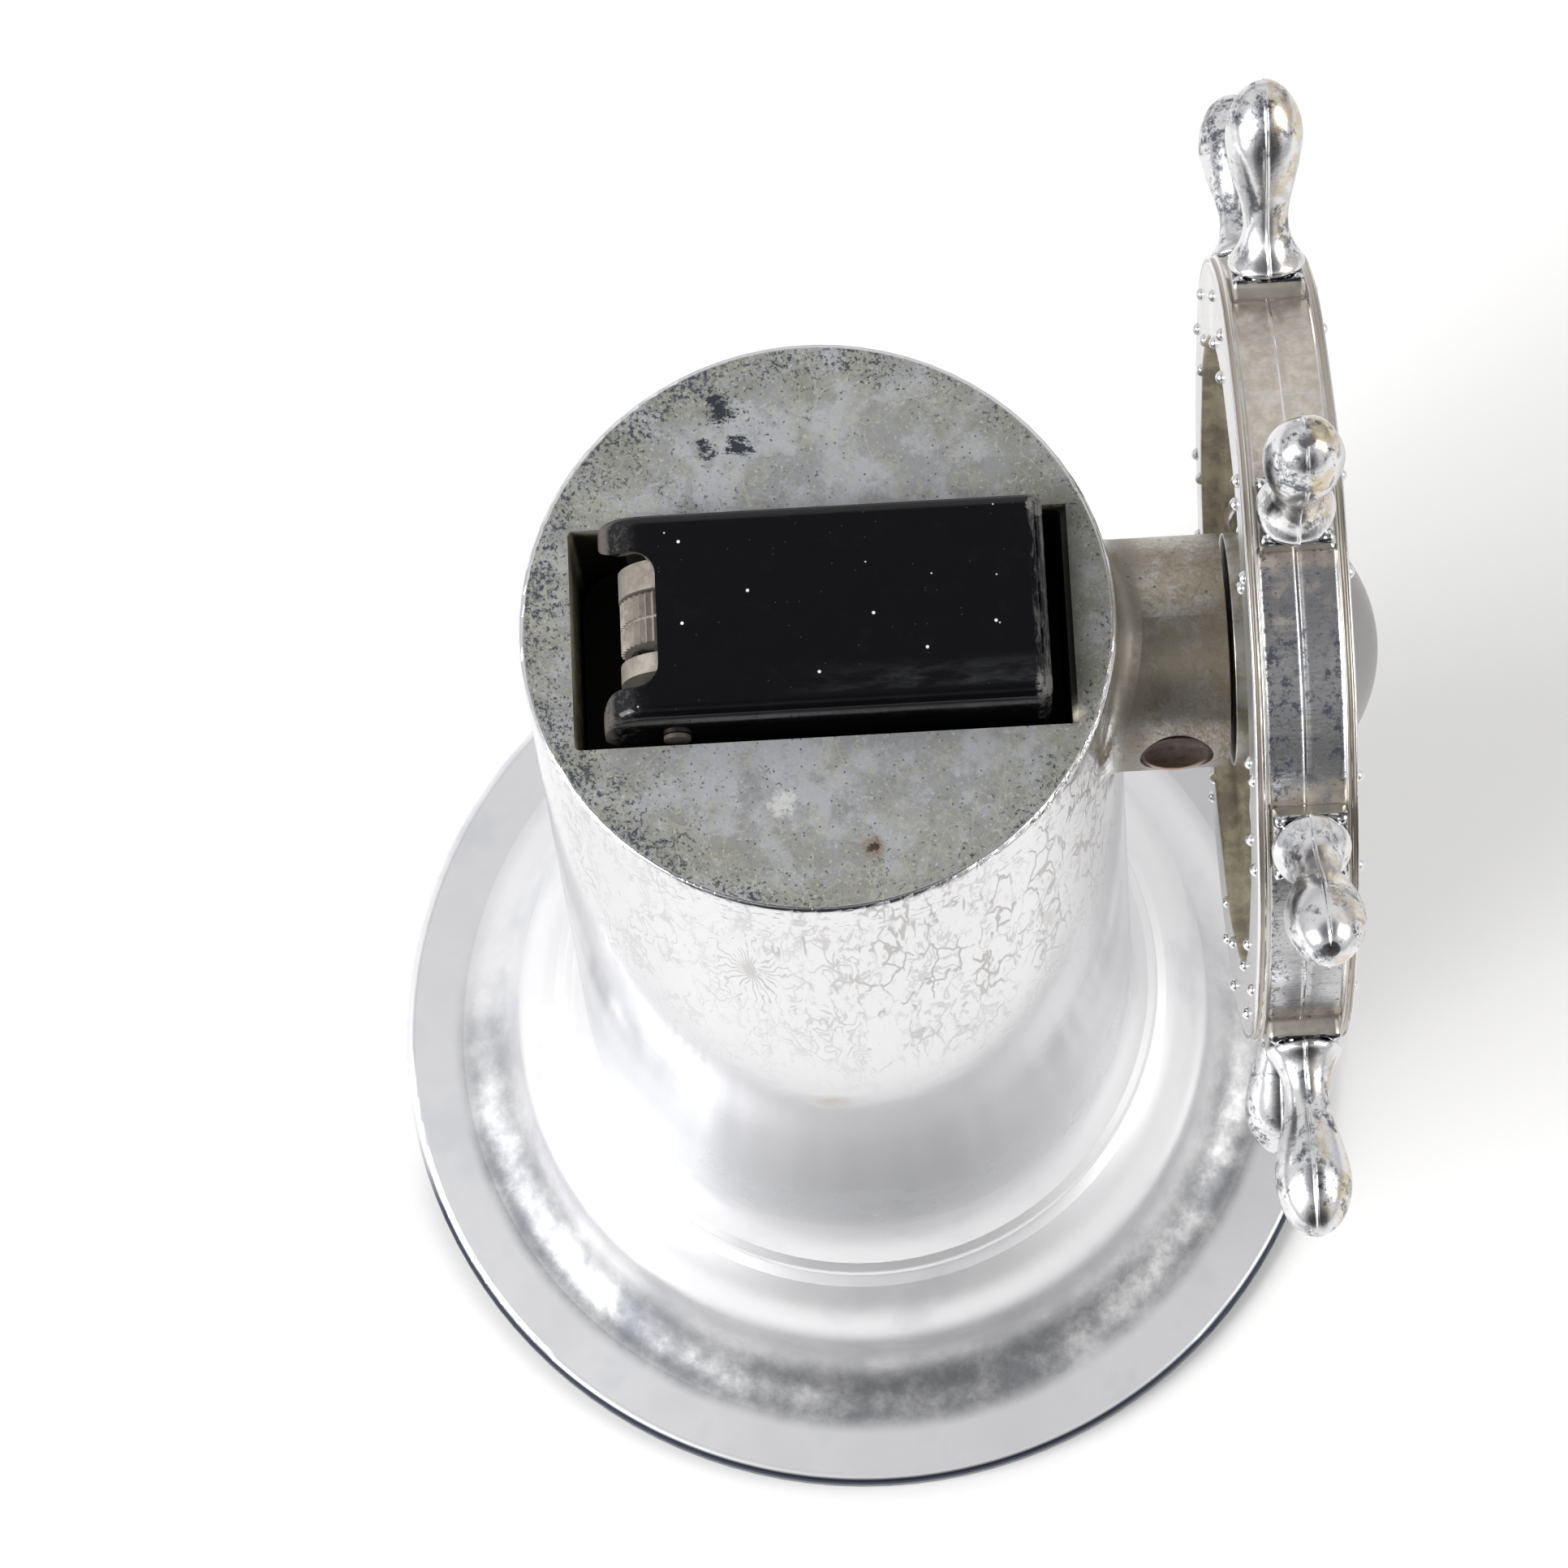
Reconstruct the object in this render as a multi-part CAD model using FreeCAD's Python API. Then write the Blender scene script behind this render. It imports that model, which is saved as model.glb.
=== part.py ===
"""Ship's-wheel table lighter: a turned pedestal with a spinning wheel and a lift-out lighter insert.

Frame: origin at the centre of the base on the surface it stands on, +Z up, +X towards the wheel.
Units are millimetres.
"""
import FreeCAD, Part
import math
import os

from FreeCAD import Vector

os.makedirs("parts", exist_ok=True)

# ---------------------------------------------------------------- driving dimensions
# pedestal casting
COLUMN_TOP = 121.4
COLUMN_TOP_R = 21.0
COLUMN_TAPER = 0.0347          # growth of radius per millimetre down the column
CASTING_FOOT_Z = 0.3           # the casting stands this far off the table, the felt carries it
FLANGE_R = 42.9
FLANGE_TOP_Z = 2.9
CAVETTO_OUTER_R = 37.4
LOWER_STEP = (31.6, 8.7)       # radius and height of the lower moulding's edge
UPPER_STEP = (26.5, 18.9)      # radius and height of the upper moulding's edge
FLARE_TOP_Z = 27.5
WALL = 2.4
CEILING_Z = 117.0              # underside of the top plate

# pocket for the insert
SLOT_CENTRE = (0.1, -0.3)
SLOT_HALF = (17.4, 8.1)
SLOT_CORNER_R = 0.4
SLOT_END_LEAD_IN = 0.4         # softer edge at the wheel end of the slot
POCKET_WALL = 1.5
POCKET_FLOOR_Z = 64.0
POCKET_FLOOR_T = 2.0
PUSH_OUT_HOLE_R = 5.0

# base closure
COVER_R = 38.9
COVER_Z = (1.0, 1.8)
FELT_R = 38.4
SCREW_CIRCLE_R = 26.0
SCREW_POST_R = 2.8
SCREW_SHANK_R = 1.2
SCREW_HEAD_R = 2.2
SCREW_COUNT = 3

# wheel, its boss and its axle
WHEEL_Z = 110.04
BOSS_R = 8.4
BOSS_END_X = 28.8
BOSS_FILLET = 1.8
AXLE_R = 3.0
AXLE_INNER_X = 20.4
AXLE_HEAD_R = 5.0
AXLE_HEAD_X = (34.25, 35.6)
FIT = 0.03                     # radial clearance of a fixed fit
RUNNING_FIT = 0.06             # radial clearance of a turning fit
PLUG_X = 25.0
PLUG_R = 2.6
PLUG_TILT = 9.0                # degrees that the plug's axis rises above horizontal
WHEEL_X = 32.45                # mid-plane of the wheel
RIM_HALF_WIDTH = 3.47
RIM_INNER_R = 22.45
RIM_BAND_R = 28.1
RIM_RIDGE_R = 28.4
PAD_TOP_R = 29.55
HANDLE_TIP_R = 43.2
HANDLE_FOOT_R = 2.6
HANDLE_BULB_R = 2.5
HANDLE_NECK_R = 1.55
HANDLE_COUNT = 8
HUB_X = (29.2, 36.4)
HUB_RECESS_X = 33.7
HUB_RECESS_R = 6.2
CAP_SPHERE_R = 11.1
CAP_APEX_X = 40.0
CAP_SHELL = 0.8
BEAD_R = 0.42
BEAD_CIRCLES = (22.95, 26.4)   # two circles of imitation screw heads on each face of the rim
BEAD_ANGLE = 7.5               # degrees either side of each handle

# insert
INSERT_X = 0.1
INSERT_Y = -0.1
TANK_HALF = (17.1, 7.75)
TANK_CORNER_R = 3.0
TANK_Z = (65.0, COLUMN_TOP - 9.0)
SHEET = 0.6
PIVOT_X = -10.1
PIVOT_Z = COLUMN_TOP - 0.4
PIN_R = 0.8
LID_X = (-15.1, 16.1)
LID_HALF_WIDTH = 7.5
LID_TOP_Z = COLUMN_TOP + 4.2
LID_SHEET = 0.7
LID_SKIRT_Z = COLUMN_TOP - 2.9
LID_NOSE_R = 3.5
NOTCH_X = -11.0
NOTCH_Y = (-5.3, 4.6)
NOTCH_CORNER_R = 1.7
SPARK_R = 3.7
SPARK_Y = (-1.6, 2.0)
SPARK_TEETH = 40
SPARK_TOOTH = 0.28
CHEEK_R = 3.75
REAR_CHEEK_Y = (2.2, 4.3)
FRONT_CHEEK_Y = (-3.9, -2.5)
PAWL_Y = (-2.35, -1.75)
WICK_X = 1.0
WICK_R = 1.5
SNUFFER_R = 3.1
FLINT_Y = 0.2
FLINT_R = 1.3
FLINT_BOTTOM_Z = 108.5
FLINT_SCREW_TOP_Z = 72.0
SPRING_WIRE_R = 0.18
COIL_STEPS_PER_TURN = 16
TUBE_HOLE_R = 1.88             # holes that the flint tube stands in
WICK_TUBE_R = 2.2
FRAME_T = 0.8
FRAME_HALF_WIDTH = 6.45
FRAME_END_X = 15.2
FILLER_X = 9.0
FILLER_R = 2.9
TANK_BOTTOM_Z = (65.6, 66.6)


# ---------------------------------------------------------------- helpers
def save(shape, name):
    """Write one node and report its solids and volume."""
    shape.exportStep("parts/%s.step" % name)
    print("%-20s solids %2d valid %s volume %.1f" % (name, len(shape.Solids), shape.isValid(), shape.Volume))


def cap_sagitta(radius, height):
    """Sagitta of the arc that makes a spherical cap on the axis of a turned shape."""
    sphere = (radius ** 2 + height ** 2) / (2 * height)
    half_chord = math.hypot(radius, height) / 2
    return sphere - math.sqrt(sphere ** 2 - half_chord ** 2)


def outline(points, place):
    """Closed face through (a, b) points; a third value is the arc's sagitta from the point before."""
    edges = []
    for start, end in zip(points, points[1:] + points[:1]):
        p = place(*start[:2])
        q = place(*end[:2])
        sagitta = end[2] if len(end) > 2 else 0.0
        if sagitta:
            da = end[0] - start[0]
            db = end[1] - start[1]
            length = math.hypot(da, db)
            middle_a = (start[0] + end[0]) / 2 + sagitta * db / length
            middle_b = (start[1] + end[1]) / 2 - sagitta * da / length
            edges.append(Part.Arc(p, place(middle_a, middle_b), q).toShape())
        else:
            edges.append(Part.makeLine(p, q))
    return Part.Face(Part.Wire(edges))


def turned_z(points):
    """Solid of revolution about Z from (radius, z) points, its seam on the -X side."""
    face = outline(points, lambda r, z: Vector(-r, 0, z))
    return face.revolve(Vector(0, 0, 0), Vector(0, 0, 1), 360)


def turned_x(points):
    """Solid of revolution about the wheel's axis from (x, radius) points."""
    face = outline(points, lambda x, r: Vector(x, 0, WHEEL_Z + r))
    return face.revolve(Vector(0, 0, WHEEL_Z), Vector(1, 0, 0), 360)


def cylinder_x(radius, x0, x1):
    return Part.makeCylinder(radius, x1 - x0, Vector(x0, 0, WHEEL_Z), Vector(1, 0, 0))


def cylinder_y(radius, y0, y1, x=PIVOT_X, z=PIVOT_Z):
    return Part.makeCylinder(radius, y1 - y0, Vector(x, y0, z), Vector(0, 1, 0))


def cylinder_z(radius, z0, z1, x=0.0, y=0.0):
    return Part.makeCylinder(radius, z1 - z0, Vector(x, y, z0), Vector(0, 0, 1))


def box(x0, x1, y0, y1, z0, z1):
    return Part.makeBox(x1 - x0, y1 - y0, z1 - z0, Vector(x0, y0, z0))


def block(centre, half, z0, z1, corner):
    """Upright block with rounded vertical corners."""
    solid = box(centre[0] - half[0], centre[0] + half[0], centre[1] - half[1], centre[1] + half[1], z0, z1)
    upright = [edge for edge in solid.Edges if abs(edge.tangentAt(edge.FirstParameter).z) > 0.99]
    return solid.makeFillet(corner, upright)


def plate_y(points, y0, y1):
    """Flat plate across Y from (x, z) points."""
    face = outline(points, lambda x, z: Vector(x, y0, z))
    return face.extrude(Vector(0, y1 - y0, 0))


def around_wheel(shape, count=HANDLE_COUNT, offset=0.0):
    """Copies of a shape turned about the wheel's axis."""
    copies = []
    for index in range(count):
        copy = shape.copy()
        copy.rotate(Vector(0, 0, WHEEL_Z), Vector(1, 0, 0), offset + 360.0 * index / count)
        copies.append(copy)
    return copies


def coil(radius, wire_r, pitch, height, base):
    """Helical spring standing on base, along Z."""
    steps = round(COIL_STEPS_PER_TURN * height / pitch)
    turn = 2 * math.pi * height / pitch
    points = []
    for index in range(steps + 1):
        part = index / steps
        points.append(Vector(radius * math.cos(turn * part), radius * math.sin(turn * part), height * part))
    curve = Part.BSplineCurve()
    curve.interpolate(points)
    heading = curve.tangent(curve.FirstParameter)[0]
    section = Part.Face(Part.Wire(Part.makeCircle(wire_r, points[0], heading)))
    spring = Part.Wire(curve.toShape()).makePipe(section)
    spring.translate(base)
    return spring


# ---------------------------------------------------------------- pedestal
def column_radius(z):
    return COLUMN_TOP_R + COLUMN_TAPER * (COLUMN_TOP - z)


def pedestal_outside():
    rim = 0.4
    return turned_z([
        (0, CASTING_FOOT_Z),
        (FLANGE_R - 0.4, CASTING_FOOT_Z),
        (FLANGE_R, CASTING_FOOT_Z + 0.4),
        (FLANGE_R, 1.6),
        (FLANGE_R - 0.9, FLANGE_TOP_Z - 0.4, 0.3),
        (CAVETTO_OUTER_R, FLANGE_TOP_Z),
        (LOWER_STEP[0], LOWER_STEP[1], -1.5),
        (LOWER_STEP[0], LOWER_STEP[1] + 0.8),
        (UPPER_STEP[0] + 1.1, UPPER_STEP[1] - 1.7, 1.1),
        (UPPER_STEP[0], UPPER_STEP[1] - 1.3),
        (UPPER_STEP[0], UPPER_STEP[1], 0.3),
        (UPPER_STEP[0] - 0.6, UPPER_STEP[1] + 0.5),
        (column_radius(FLARE_TOP_Z), FLARE_TOP_Z, -0.5),
        (column_radius(COLUMN_TOP - rim), COLUMN_TOP - rim),
        (COLUMN_TOP_R - rim, COLUMN_TOP, 0.12),
        (0, COLUMN_TOP),
    ])


def pedestal_cavity():
    return turned_z([
        (0, COVER_Z[1]),
        (34.6, COVER_Z[1]),
        (29.2, 6.4),
        (29.2, 8.4),
        (24.6, 16.6),
        (column_radius(FLARE_TOP_Z) - WALL, FLARE_TOP_Z),
        (column_radius(CEILING_Z) - WALL, CEILING_Z),
        (0, CEILING_Z),
    ])


def screw_places():
    for index in range(SCREW_COUNT):
        angle = math.radians(90 + 360.0 * index / SCREW_COUNT)
        yield SCREW_CIRCLE_R * math.cos(angle), SCREW_CIRCLE_R * math.sin(angle)


def slot_lead_in():
    """Wedge that softens the slot's edge at the wheel end."""
    right = SLOT_CENTRE[0] + SLOT_HALF[0]
    front, back = SLOT_CENTRE[1] - SLOT_HALF[1], SLOT_CENTRE[1] + SLOT_HALF[1]
    return plate_y([
        (right - 0.5, COLUMN_TOP + 0.5),
        (right - 0.5, COLUMN_TOP - SLOT_END_LEAD_IN * 2),
        (right, COLUMN_TOP - SLOT_END_LEAD_IN * 2),
        (right + SLOT_END_LEAD_IN, COLUMN_TOP, 0.25),
        (right + SLOT_END_LEAD_IN, COLUMN_TOP + 0.5),
    ], front, back)


def plug_frame():
    """Axis of the retaining plug, pointing out of the boss."""
    tilt = math.radians(PLUG_TILT)
    return Vector(0, -math.cos(tilt), math.sin(tilt))


def column():
    outside = pedestal_outside()
    boss = cylinder_x(BOSS_R, 0, BOSS_END_X)
    outer = outside.fuse(boss)
    joint_edges = []
    for edge in outer.Edges:
        middle = edge.valueAt((edge.FirstParameter + edge.LastParameter) / 2)
        off_axis = math.hypot(middle.y, middle.z - WHEEL_Z)
        if abs(off_axis - BOSS_R) < 0.01 and edge.BoundBox.XMax < BOSS_END_X - 1 and middle.x > 10:
            if edge.BoundBox.YLength > 1:
                joint_edges.append(edge)
    outer = outer.makeFillet(BOSS_FILLET, joint_edges)

    pocket_half = (SLOT_HALF[0] + POCKET_WALL, SLOT_HALF[1] + POCKET_WALL)
    pocket_block = block(SLOT_CENTRE, pocket_half, POCKET_FLOOR_Z - POCKET_FLOOR_T, COLUMN_TOP, 1.5)
    posts = [cylinder_z(SCREW_POST_R, COVER_Z[1], 14.0, x, y) for x, y in screw_places()]
    inner = pocket_block.common(outside)
    boss_root = cylinder_x(BOSS_R - 1.0, SLOT_CENTRE[0] + SLOT_HALF[0], BOSS_END_X - 4)
    body = outer.cut(pedestal_cavity())
    body = body.multiFuse([inner, boss_root] + posts)

    cuts = [
        block(SLOT_CENTRE, SLOT_HALF, POCKET_FLOOR_Z, COLUMN_TOP + 1, SLOT_CORNER_R),
        cylinder_z(PUSH_OUT_HOLE_R, POCKET_FLOOR_Z - POCKET_FLOOR_T - 1, POCKET_FLOOR_Z + 1, *SLOT_CENTRE),
        cylinder_z(COVER_R + FIT * 2, 0, COVER_Z[1]),
        cylinder_x(AXLE_R + FIT, AXLE_INNER_X - 0.4, BOSS_END_X + 1),
        slot_lead_in(),
    ]
    cuts += [cylinder_z(SCREW_SHANK_R + FIT, 0, 9.5, x, y) for x, y in screw_places()]
    plug_seat = Part.makeCylinder(PLUG_R + FIT, BOSS_R + 3, Vector(PLUG_X, 0, WHEEL_Z), plug_frame())
    cuts.append(plug_seat)
    for tool in cuts:
        body = body.cut(tool)
    return body


def base_cover():
    plate = cylinder_z(COVER_R, *COVER_Z)
    for x, y in screw_places():
        plate = plate.cut(cylinder_z(SCREW_SHANK_R + 0.1, 0, 3, x, y))
    return plate


def felt_pad():
    pad = cylinder_z(FELT_R, 0, COVER_Z[0])
    for x, y in screw_places():
        pad = pad.cut(cylinder_z(SCREW_HEAD_R + 0.8, -1, 2, x, y))
    return pad


def cover_screws():
    """Self-tapping screws with crossed recesses, heads under the cover."""
    screws = []
    for x, y in screw_places():
        head = cylinder_z(SCREW_HEAD_R, 0.2, COVER_Z[0], x, y)
        shank = cylinder_z(SCREW_SHANK_R, COVER_Z[0] - 0.1, 9.0, x, y)
        recess = box(x - 1.3, x + 1.3, y - 0.25, y + 0.25, 0, 0.6)
        cross = box(x - 0.25, x + 0.25, y - 1.3, y + 1.3, 0, 0.6)
        screws.append(head.fuse(shank).cut(recess).cut(cross))
    return Part.makeCompound(screws)


# ---------------------------------------------------------------- wheel and axle
def wheel_axle():
    groove = 0.7
    head0, head1 = AXLE_HEAD_X
    axle = turned_x([
        (AXLE_INNER_X, 0),
        (AXLE_INNER_X, AXLE_R - 0.5),
        (AXLE_INNER_X + 0.5, AXLE_R),
        (PLUG_X - 2.0, AXLE_R),
        (PLUG_X - 1.6, AXLE_R - groove),
        (PLUG_X + 1.6, AXLE_R - groove),
        (PLUG_X + 2.0, AXLE_R),
        (head0, AXLE_R),
        (head0, AXLE_HEAD_R),
        (head1 - 0.4, AXLE_HEAD_R),
        (head1, AXLE_HEAD_R - 0.4, -0.12),
        (head1, 0),
    ])
    slot = box(head1 - 0.6, head1 + 1, -0.5, 0.5, WHEEL_Z - 6, WHEEL_Z + 6)
    return axle.cut(slot)


def retaining_plug():
    """Dished screw plug whose tip stands in the axle's groove."""
    axis = plug_frame()
    centre = Vector(PLUG_X, 0, WHEEL_Z)
    tip_r = 1.4
    tip_start = AXLE_R - 0.6
    body_start = AXLE_R + 0.3
    face_at = BOSS_R - 0.25
    body = Part.makeCylinder(PLUG_R, face_at - body_start, centre + axis * body_start, axis)
    tip = Part.makeCylinder(tip_r, body_start - tip_start + 0.2, centre + axis * tip_start, axis)
    dish_depth = 0.55
    dish_edge = PLUG_R - 0.3
    dish_r = (dish_edge ** 2 + dish_depth ** 2) / (2 * dish_depth)
    dish = Part.makeSphere(dish_r, centre + axis * (face_at - dish_depth + dish_r))
    return body.fuse(tip).cut(dish)


def ring_washer(inner, outer, x0, x1):
    return cylinder_x(outer, x0, x1).cut(cylinder_x(inner, x0 - 1, x1 + 1))


def rim():
    """Rim section, mirrored about the mid-plane: seam, band, ridge, groove and inner step."""
    half = [
        (0.0, RIM_BAND_R + 0.14),
        (0.22, RIM_BAND_R),
        (2.54, RIM_BAND_R),
        (2.62, RIM_RIDGE_R),
        (2.86, RIM_RIDGE_R),
        (2.95, RIM_BAND_R - 0.1),
        (3.18, RIM_BAND_R - 0.1),
        (3.26, RIM_BAND_R + 0.1),
        (RIM_HALF_WIDTH - 0.08, RIM_BAND_R),
        (RIM_HALF_WIDTH, RIM_BAND_R - 0.4),
        (RIM_HALF_WIDTH, RIM_INNER_R + 0.3),
        (RIM_HALF_WIDTH - 0.3, RIM_INNER_R),
        (2.2, RIM_INNER_R),
        (1.9, RIM_INNER_R - 0.6),
    ]
    right = [(WHEEL_X + x, r) for x, r in half]
    left = [(WHEEL_X - x, r) for x, r in reversed(half[1:])]
    return turned_x(right + left)


def hub():
    x0, x1 = HUB_X
    return turned_x([
        (x0, AXLE_R + RUNNING_FIT),
        (x0, BOSS_R - 0.2),
        (x0 + 0.2, BOSS_R),
        (x0 + 1.6, BOSS_R),
        (x0 + 1.9, BOSS_R - 0.5),
        (x1 - 1.7, BOSS_R - 0.5),
        (x1 - 1.4, BOSS_R),
        (x1 - 0.2, BOSS_R),
        (x1, BOSS_R - 0.2),
        (x1, HUB_RECESS_R),
        (HUB_RECESS_X, HUB_RECESS_R),
        (HUB_RECESS_X, AXLE_R + RUNNING_FIT),
    ])


def turned_radial(points):
    """Solid of revolution about the upright radius of the wheel from (radius, height) points."""
    face = outline(points, lambda r, h: Vector(WHEEL_X + r, 0, WHEEL_Z + h))
    return face.revolve(Vector(WHEEL_X, 0, WHEEL_Z), Vector(0, 0, 1), 360)


def spoke():
    """Turned spoke with a swelling between two collars."""
    return turned_radial([
        (0, BOSS_R - 1.2),
        (2.0, BOSS_R - 1.2),
        (2.0, 9.2),
        (1.3, 10.2, -0.15),
        (1.9, 12.6, -0.1),
        (1.35, 20.2, 0.35),
        (1.35, 21.2),
        (1.9, 22.2, -0.15),
        (1.9, RIM_INNER_R),
        (0, RIM_INNER_R),
    ])


def handle_profile(grow=0.0):
    """Handle section above the rim: flared foot, thin neck, pear bulb and a blunt point."""
    tip_r = 1.6 + grow
    tip_h = 0.57
    return [
        (0, RIM_BAND_R - 1.0),
        (2.3 + grow, RIM_BAND_R - 1.0),
        (2.3 + grow, PAD_TOP_R),
        (HANDLE_FOOT_R + grow, PAD_TOP_R + 0.1),
        (HANDLE_FOOT_R + grow, PAD_TOP_R + 0.45),
        (HANDLE_NECK_R + grow, PAD_TOP_R + 3.3, -0.5),
        (HANDLE_BULB_R + grow, 38.7, -0.16),
        (tip_r, HANDLE_TIP_R - tip_h, 0.62),
        (0, HANDLE_TIP_R, cap_sagitta(tip_r, tip_h)),
    ]


def handle():
    return turned_radial(handle_profile())


def handle_seam():
    """Casting flash that follows the handle's outline on the wheel's mid-plane."""
    seam_half = 0.11
    raised = turned_radial(handle_profile(0.1))
    slab = box(WHEEL_X - seam_half, WHEEL_X + seam_half, -6, 6, WHEEL_Z + 29, WHEEL_Z + 43)
    return raised.common(slab)


def handle_pad():
    """Rectangular pad under a handle, with a small ear at each corner."""
    half_x = 2.5
    half_y = 2.4
    top = WHEEL_Z + PAD_TOP_R
    pad = box(WHEEL_X - half_x, WHEEL_X + half_x, -half_y, half_y, WHEEL_Z + RIM_BAND_R - 1, top)
    ears = []
    for side in (-1, 1):
        for end in (-1, 1):
            centre = Vector(WHEEL_X + side * (half_x - 0.3), end * (half_y - 0.3), top)
            ears.append(Part.makeSphere(0.38, centre))
    return [pad] + ears


def face_beads():
    """Imitation screw heads in radial pairs either side of each handle, on both faces."""
    beads = []
    for side in (-1, 1):
        for radius in BEAD_CIRCLES:
            bead = Part.makeSphere(BEAD_R, Vector(WHEEL_X + side * (RIM_HALF_WIDTH - 0.05), 0, WHEEL_Z + radius))
            for angle in (-BEAD_ANGLE, BEAD_ANGLE):
                beads += around_wheel(bead, offset=angle)
    return beads


def ships_wheel():
    """Rim, hub, spokes and handles in one casting."""
    pieces = [hub()]
    for feature in [spoke(), handle(), handle_seam()] + handle_pad():
        pieces += around_wheel(feature)
    pieces += face_beads()
    return rim().multiFuse(pieces).removeSplitter()


def hub_cap():
    """Domed cap with a spigot that snaps into the hub's recess."""
    centre_x = CAP_APEX_X - CAP_SPHERE_R
    centre = Vector(centre_x, 0, WHEEL_Z)
    x0 = HUB_X[1]
    dome = Part.makeSphere(CAP_SPHERE_R, centre).common(cylinder_x(CAP_SPHERE_R, x0, CAP_APEX_X + 1))
    hollow = Part.makeSphere(CAP_SPHERE_R - CAP_SHELL, centre)
    shell = dome.cut(hollow)
    spigot_r = HUB_RECESS_R - FIT
    spigot = cylinder_x(spigot_r, x0 - 0.6, x0 + 2.2).cut(cylinder_x(spigot_r - 0.7, x0 - 2, x0 + 4))
    spigot = spigot.common(Part.makeSphere(CAP_SPHERE_R - CAP_SHELL / 2, centre))
    return shell.fuse(spigot)


# ---------------------------------------------------------------- insert: tank
def tank_shell():
    z0, z1 = TANK_Z
    centre = (INSERT_X, INSERT_Y)
    inner_half = (TANK_HALF[0] - SHEET, TANK_HALF[1] - SHEET)
    shell = block(centre, TANK_HALF, z0, z1, TANK_CORNER_R)
    shell = shell.cut(block(centre, inner_half, z0 - 1, z1 - 0.8, TANK_CORNER_R - SHEET))
    shell = shell.cut(cylinder_z(WICK_TUBE_R + 0.05, z1 - 3, z1 + 1, WICK_X, INSERT_Y))
    return shell.cut(cylinder_z(TUBE_HOLE_R, z1 - 3, z1 + 1, PIVOT_X, FLINT_Y))


def tank_bottom():
    z0, z1 = TANK_BOTTOM_Z
    half = (TANK_HALF[0] - SHEET - FIT, TANK_HALF[1] - SHEET - FIT)
    plate = block((INSERT_X, INSERT_Y), half, z0, z1, TANK_CORNER_R - SHEET)
    neck = cylinder_z(FILLER_R + 1.1, z0, z1 + 3, FILLER_X, INSERT_Y)
    plate = plate.fuse(neck).cut(cylinder_z(FILLER_R + FIT, z0 - 1, z1 + 4, FILLER_X, INSERT_Y))
    return plate.cut(cylinder_z(TUBE_HOLE_R, z0 - 1, z1 + 1, PIVOT_X, FLINT_Y))


def filler_screw():
    z0 = TANK_BOTTOM_Z[0]
    head = cylinder_z(4.0, z0 - 1.3, z0 - 0.5, FILLER_X, INSERT_Y)
    shank = cylinder_z(FILLER_R, z0 - 0.6, z0 + 3.6, FILLER_X, INSERT_Y)
    coin_slot = box(FILLER_X - 5, FILLER_X + 5, INSERT_Y - 0.4, INSERT_Y + 0.4, z0 - 2, z0 - 0.9)
    return head.fuse(shank).cut(coin_slot)


def filler_gasket():
    z0 = TANK_BOTTOM_Z[0]
    ring = cylinder_z(3.9, z0 - 0.5, z0, FILLER_X, INSERT_Y)
    return ring.cut(cylinder_z(FILLER_R + FIT, z0 - 1, z0 + 1, FILLER_X, INSERT_Y))


def cotton_wadding():
    pad = block((4.4, INSERT_Y), (11.4, 6.2), 71.0, 108.0, 2.0)
    return pad.cut(cylinder_z(WICK_R + FIT, 70, 110, WICK_X, INSERT_Y))


def wick_tube():
    tube = cylinder_z(WICK_TUBE_R, 108.4, COLUMN_TOP - 3.4, WICK_X, INSERT_Y)
    return tube.cut(cylinder_z(WICK_R + FIT, 100, COLUMN_TOP, WICK_X, INSERT_Y))


def wick():
    """Woven wick, frayed to a shallow dome above the tube."""
    top = COLUMN_TOP - 1.0
    dome = 0.5
    bottom = TANK_Z[0] + 9.0
    stem = turned_z([
        (0, bottom),
        (WICK_R, bottom),
        (WICK_R, top - dome),
        (0, top, cap_sagitta(WICK_R, dome)),
    ])
    stem.translate(Vector(WICK_X, INSERT_Y, 0))
    return stem


# ---------------------------------------------------------------- insert: flint
def flint_tube():
    tube = cylinder_z(1.85, TANK_BOTTOM_Z[0], PIVOT_Z - SPARK_R - 0.35, PIVOT_X, FLINT_Y)
    return tube.cut(cylinder_z(FLINT_R + 0.08, 60, PIVOT_Z, PIVOT_X, FLINT_Y))


def flint():
    return cylinder_z(FLINT_R, FLINT_BOTTOM_Z, PIVOT_Z - SPARK_R - 0.05, PIVOT_X, FLINT_Y)


def flint_spring():
    gap = 0.1
    base = FLINT_SCREW_TOP_Z + SPRING_WIRE_R + gap
    height = FLINT_BOTTOM_Z - SPRING_WIRE_R - gap - base
    turns = 12
    return coil(0.95, SPRING_WIRE_R, height / turns, height, Vector(PIVOT_X, FLINT_Y, base))


def flint_screw():
    z0 = TANK_BOTTOM_Z[0]
    head = cylinder_z(2.4, z0 - 1.3, z0, PIVOT_X, FLINT_Y)
    shank = cylinder_z(FLINT_R, z0 - 0.1, FLINT_SCREW_TOP_Z, PIVOT_X, FLINT_Y)
    coin_slot = box(PIVOT_X - 3, PIVOT_X + 3, FLINT_Y - 0.35, FLINT_Y + 0.35, z0 - 2, z0 - 0.7)
    return head.fuse(shank).cut(coin_slot)


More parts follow.
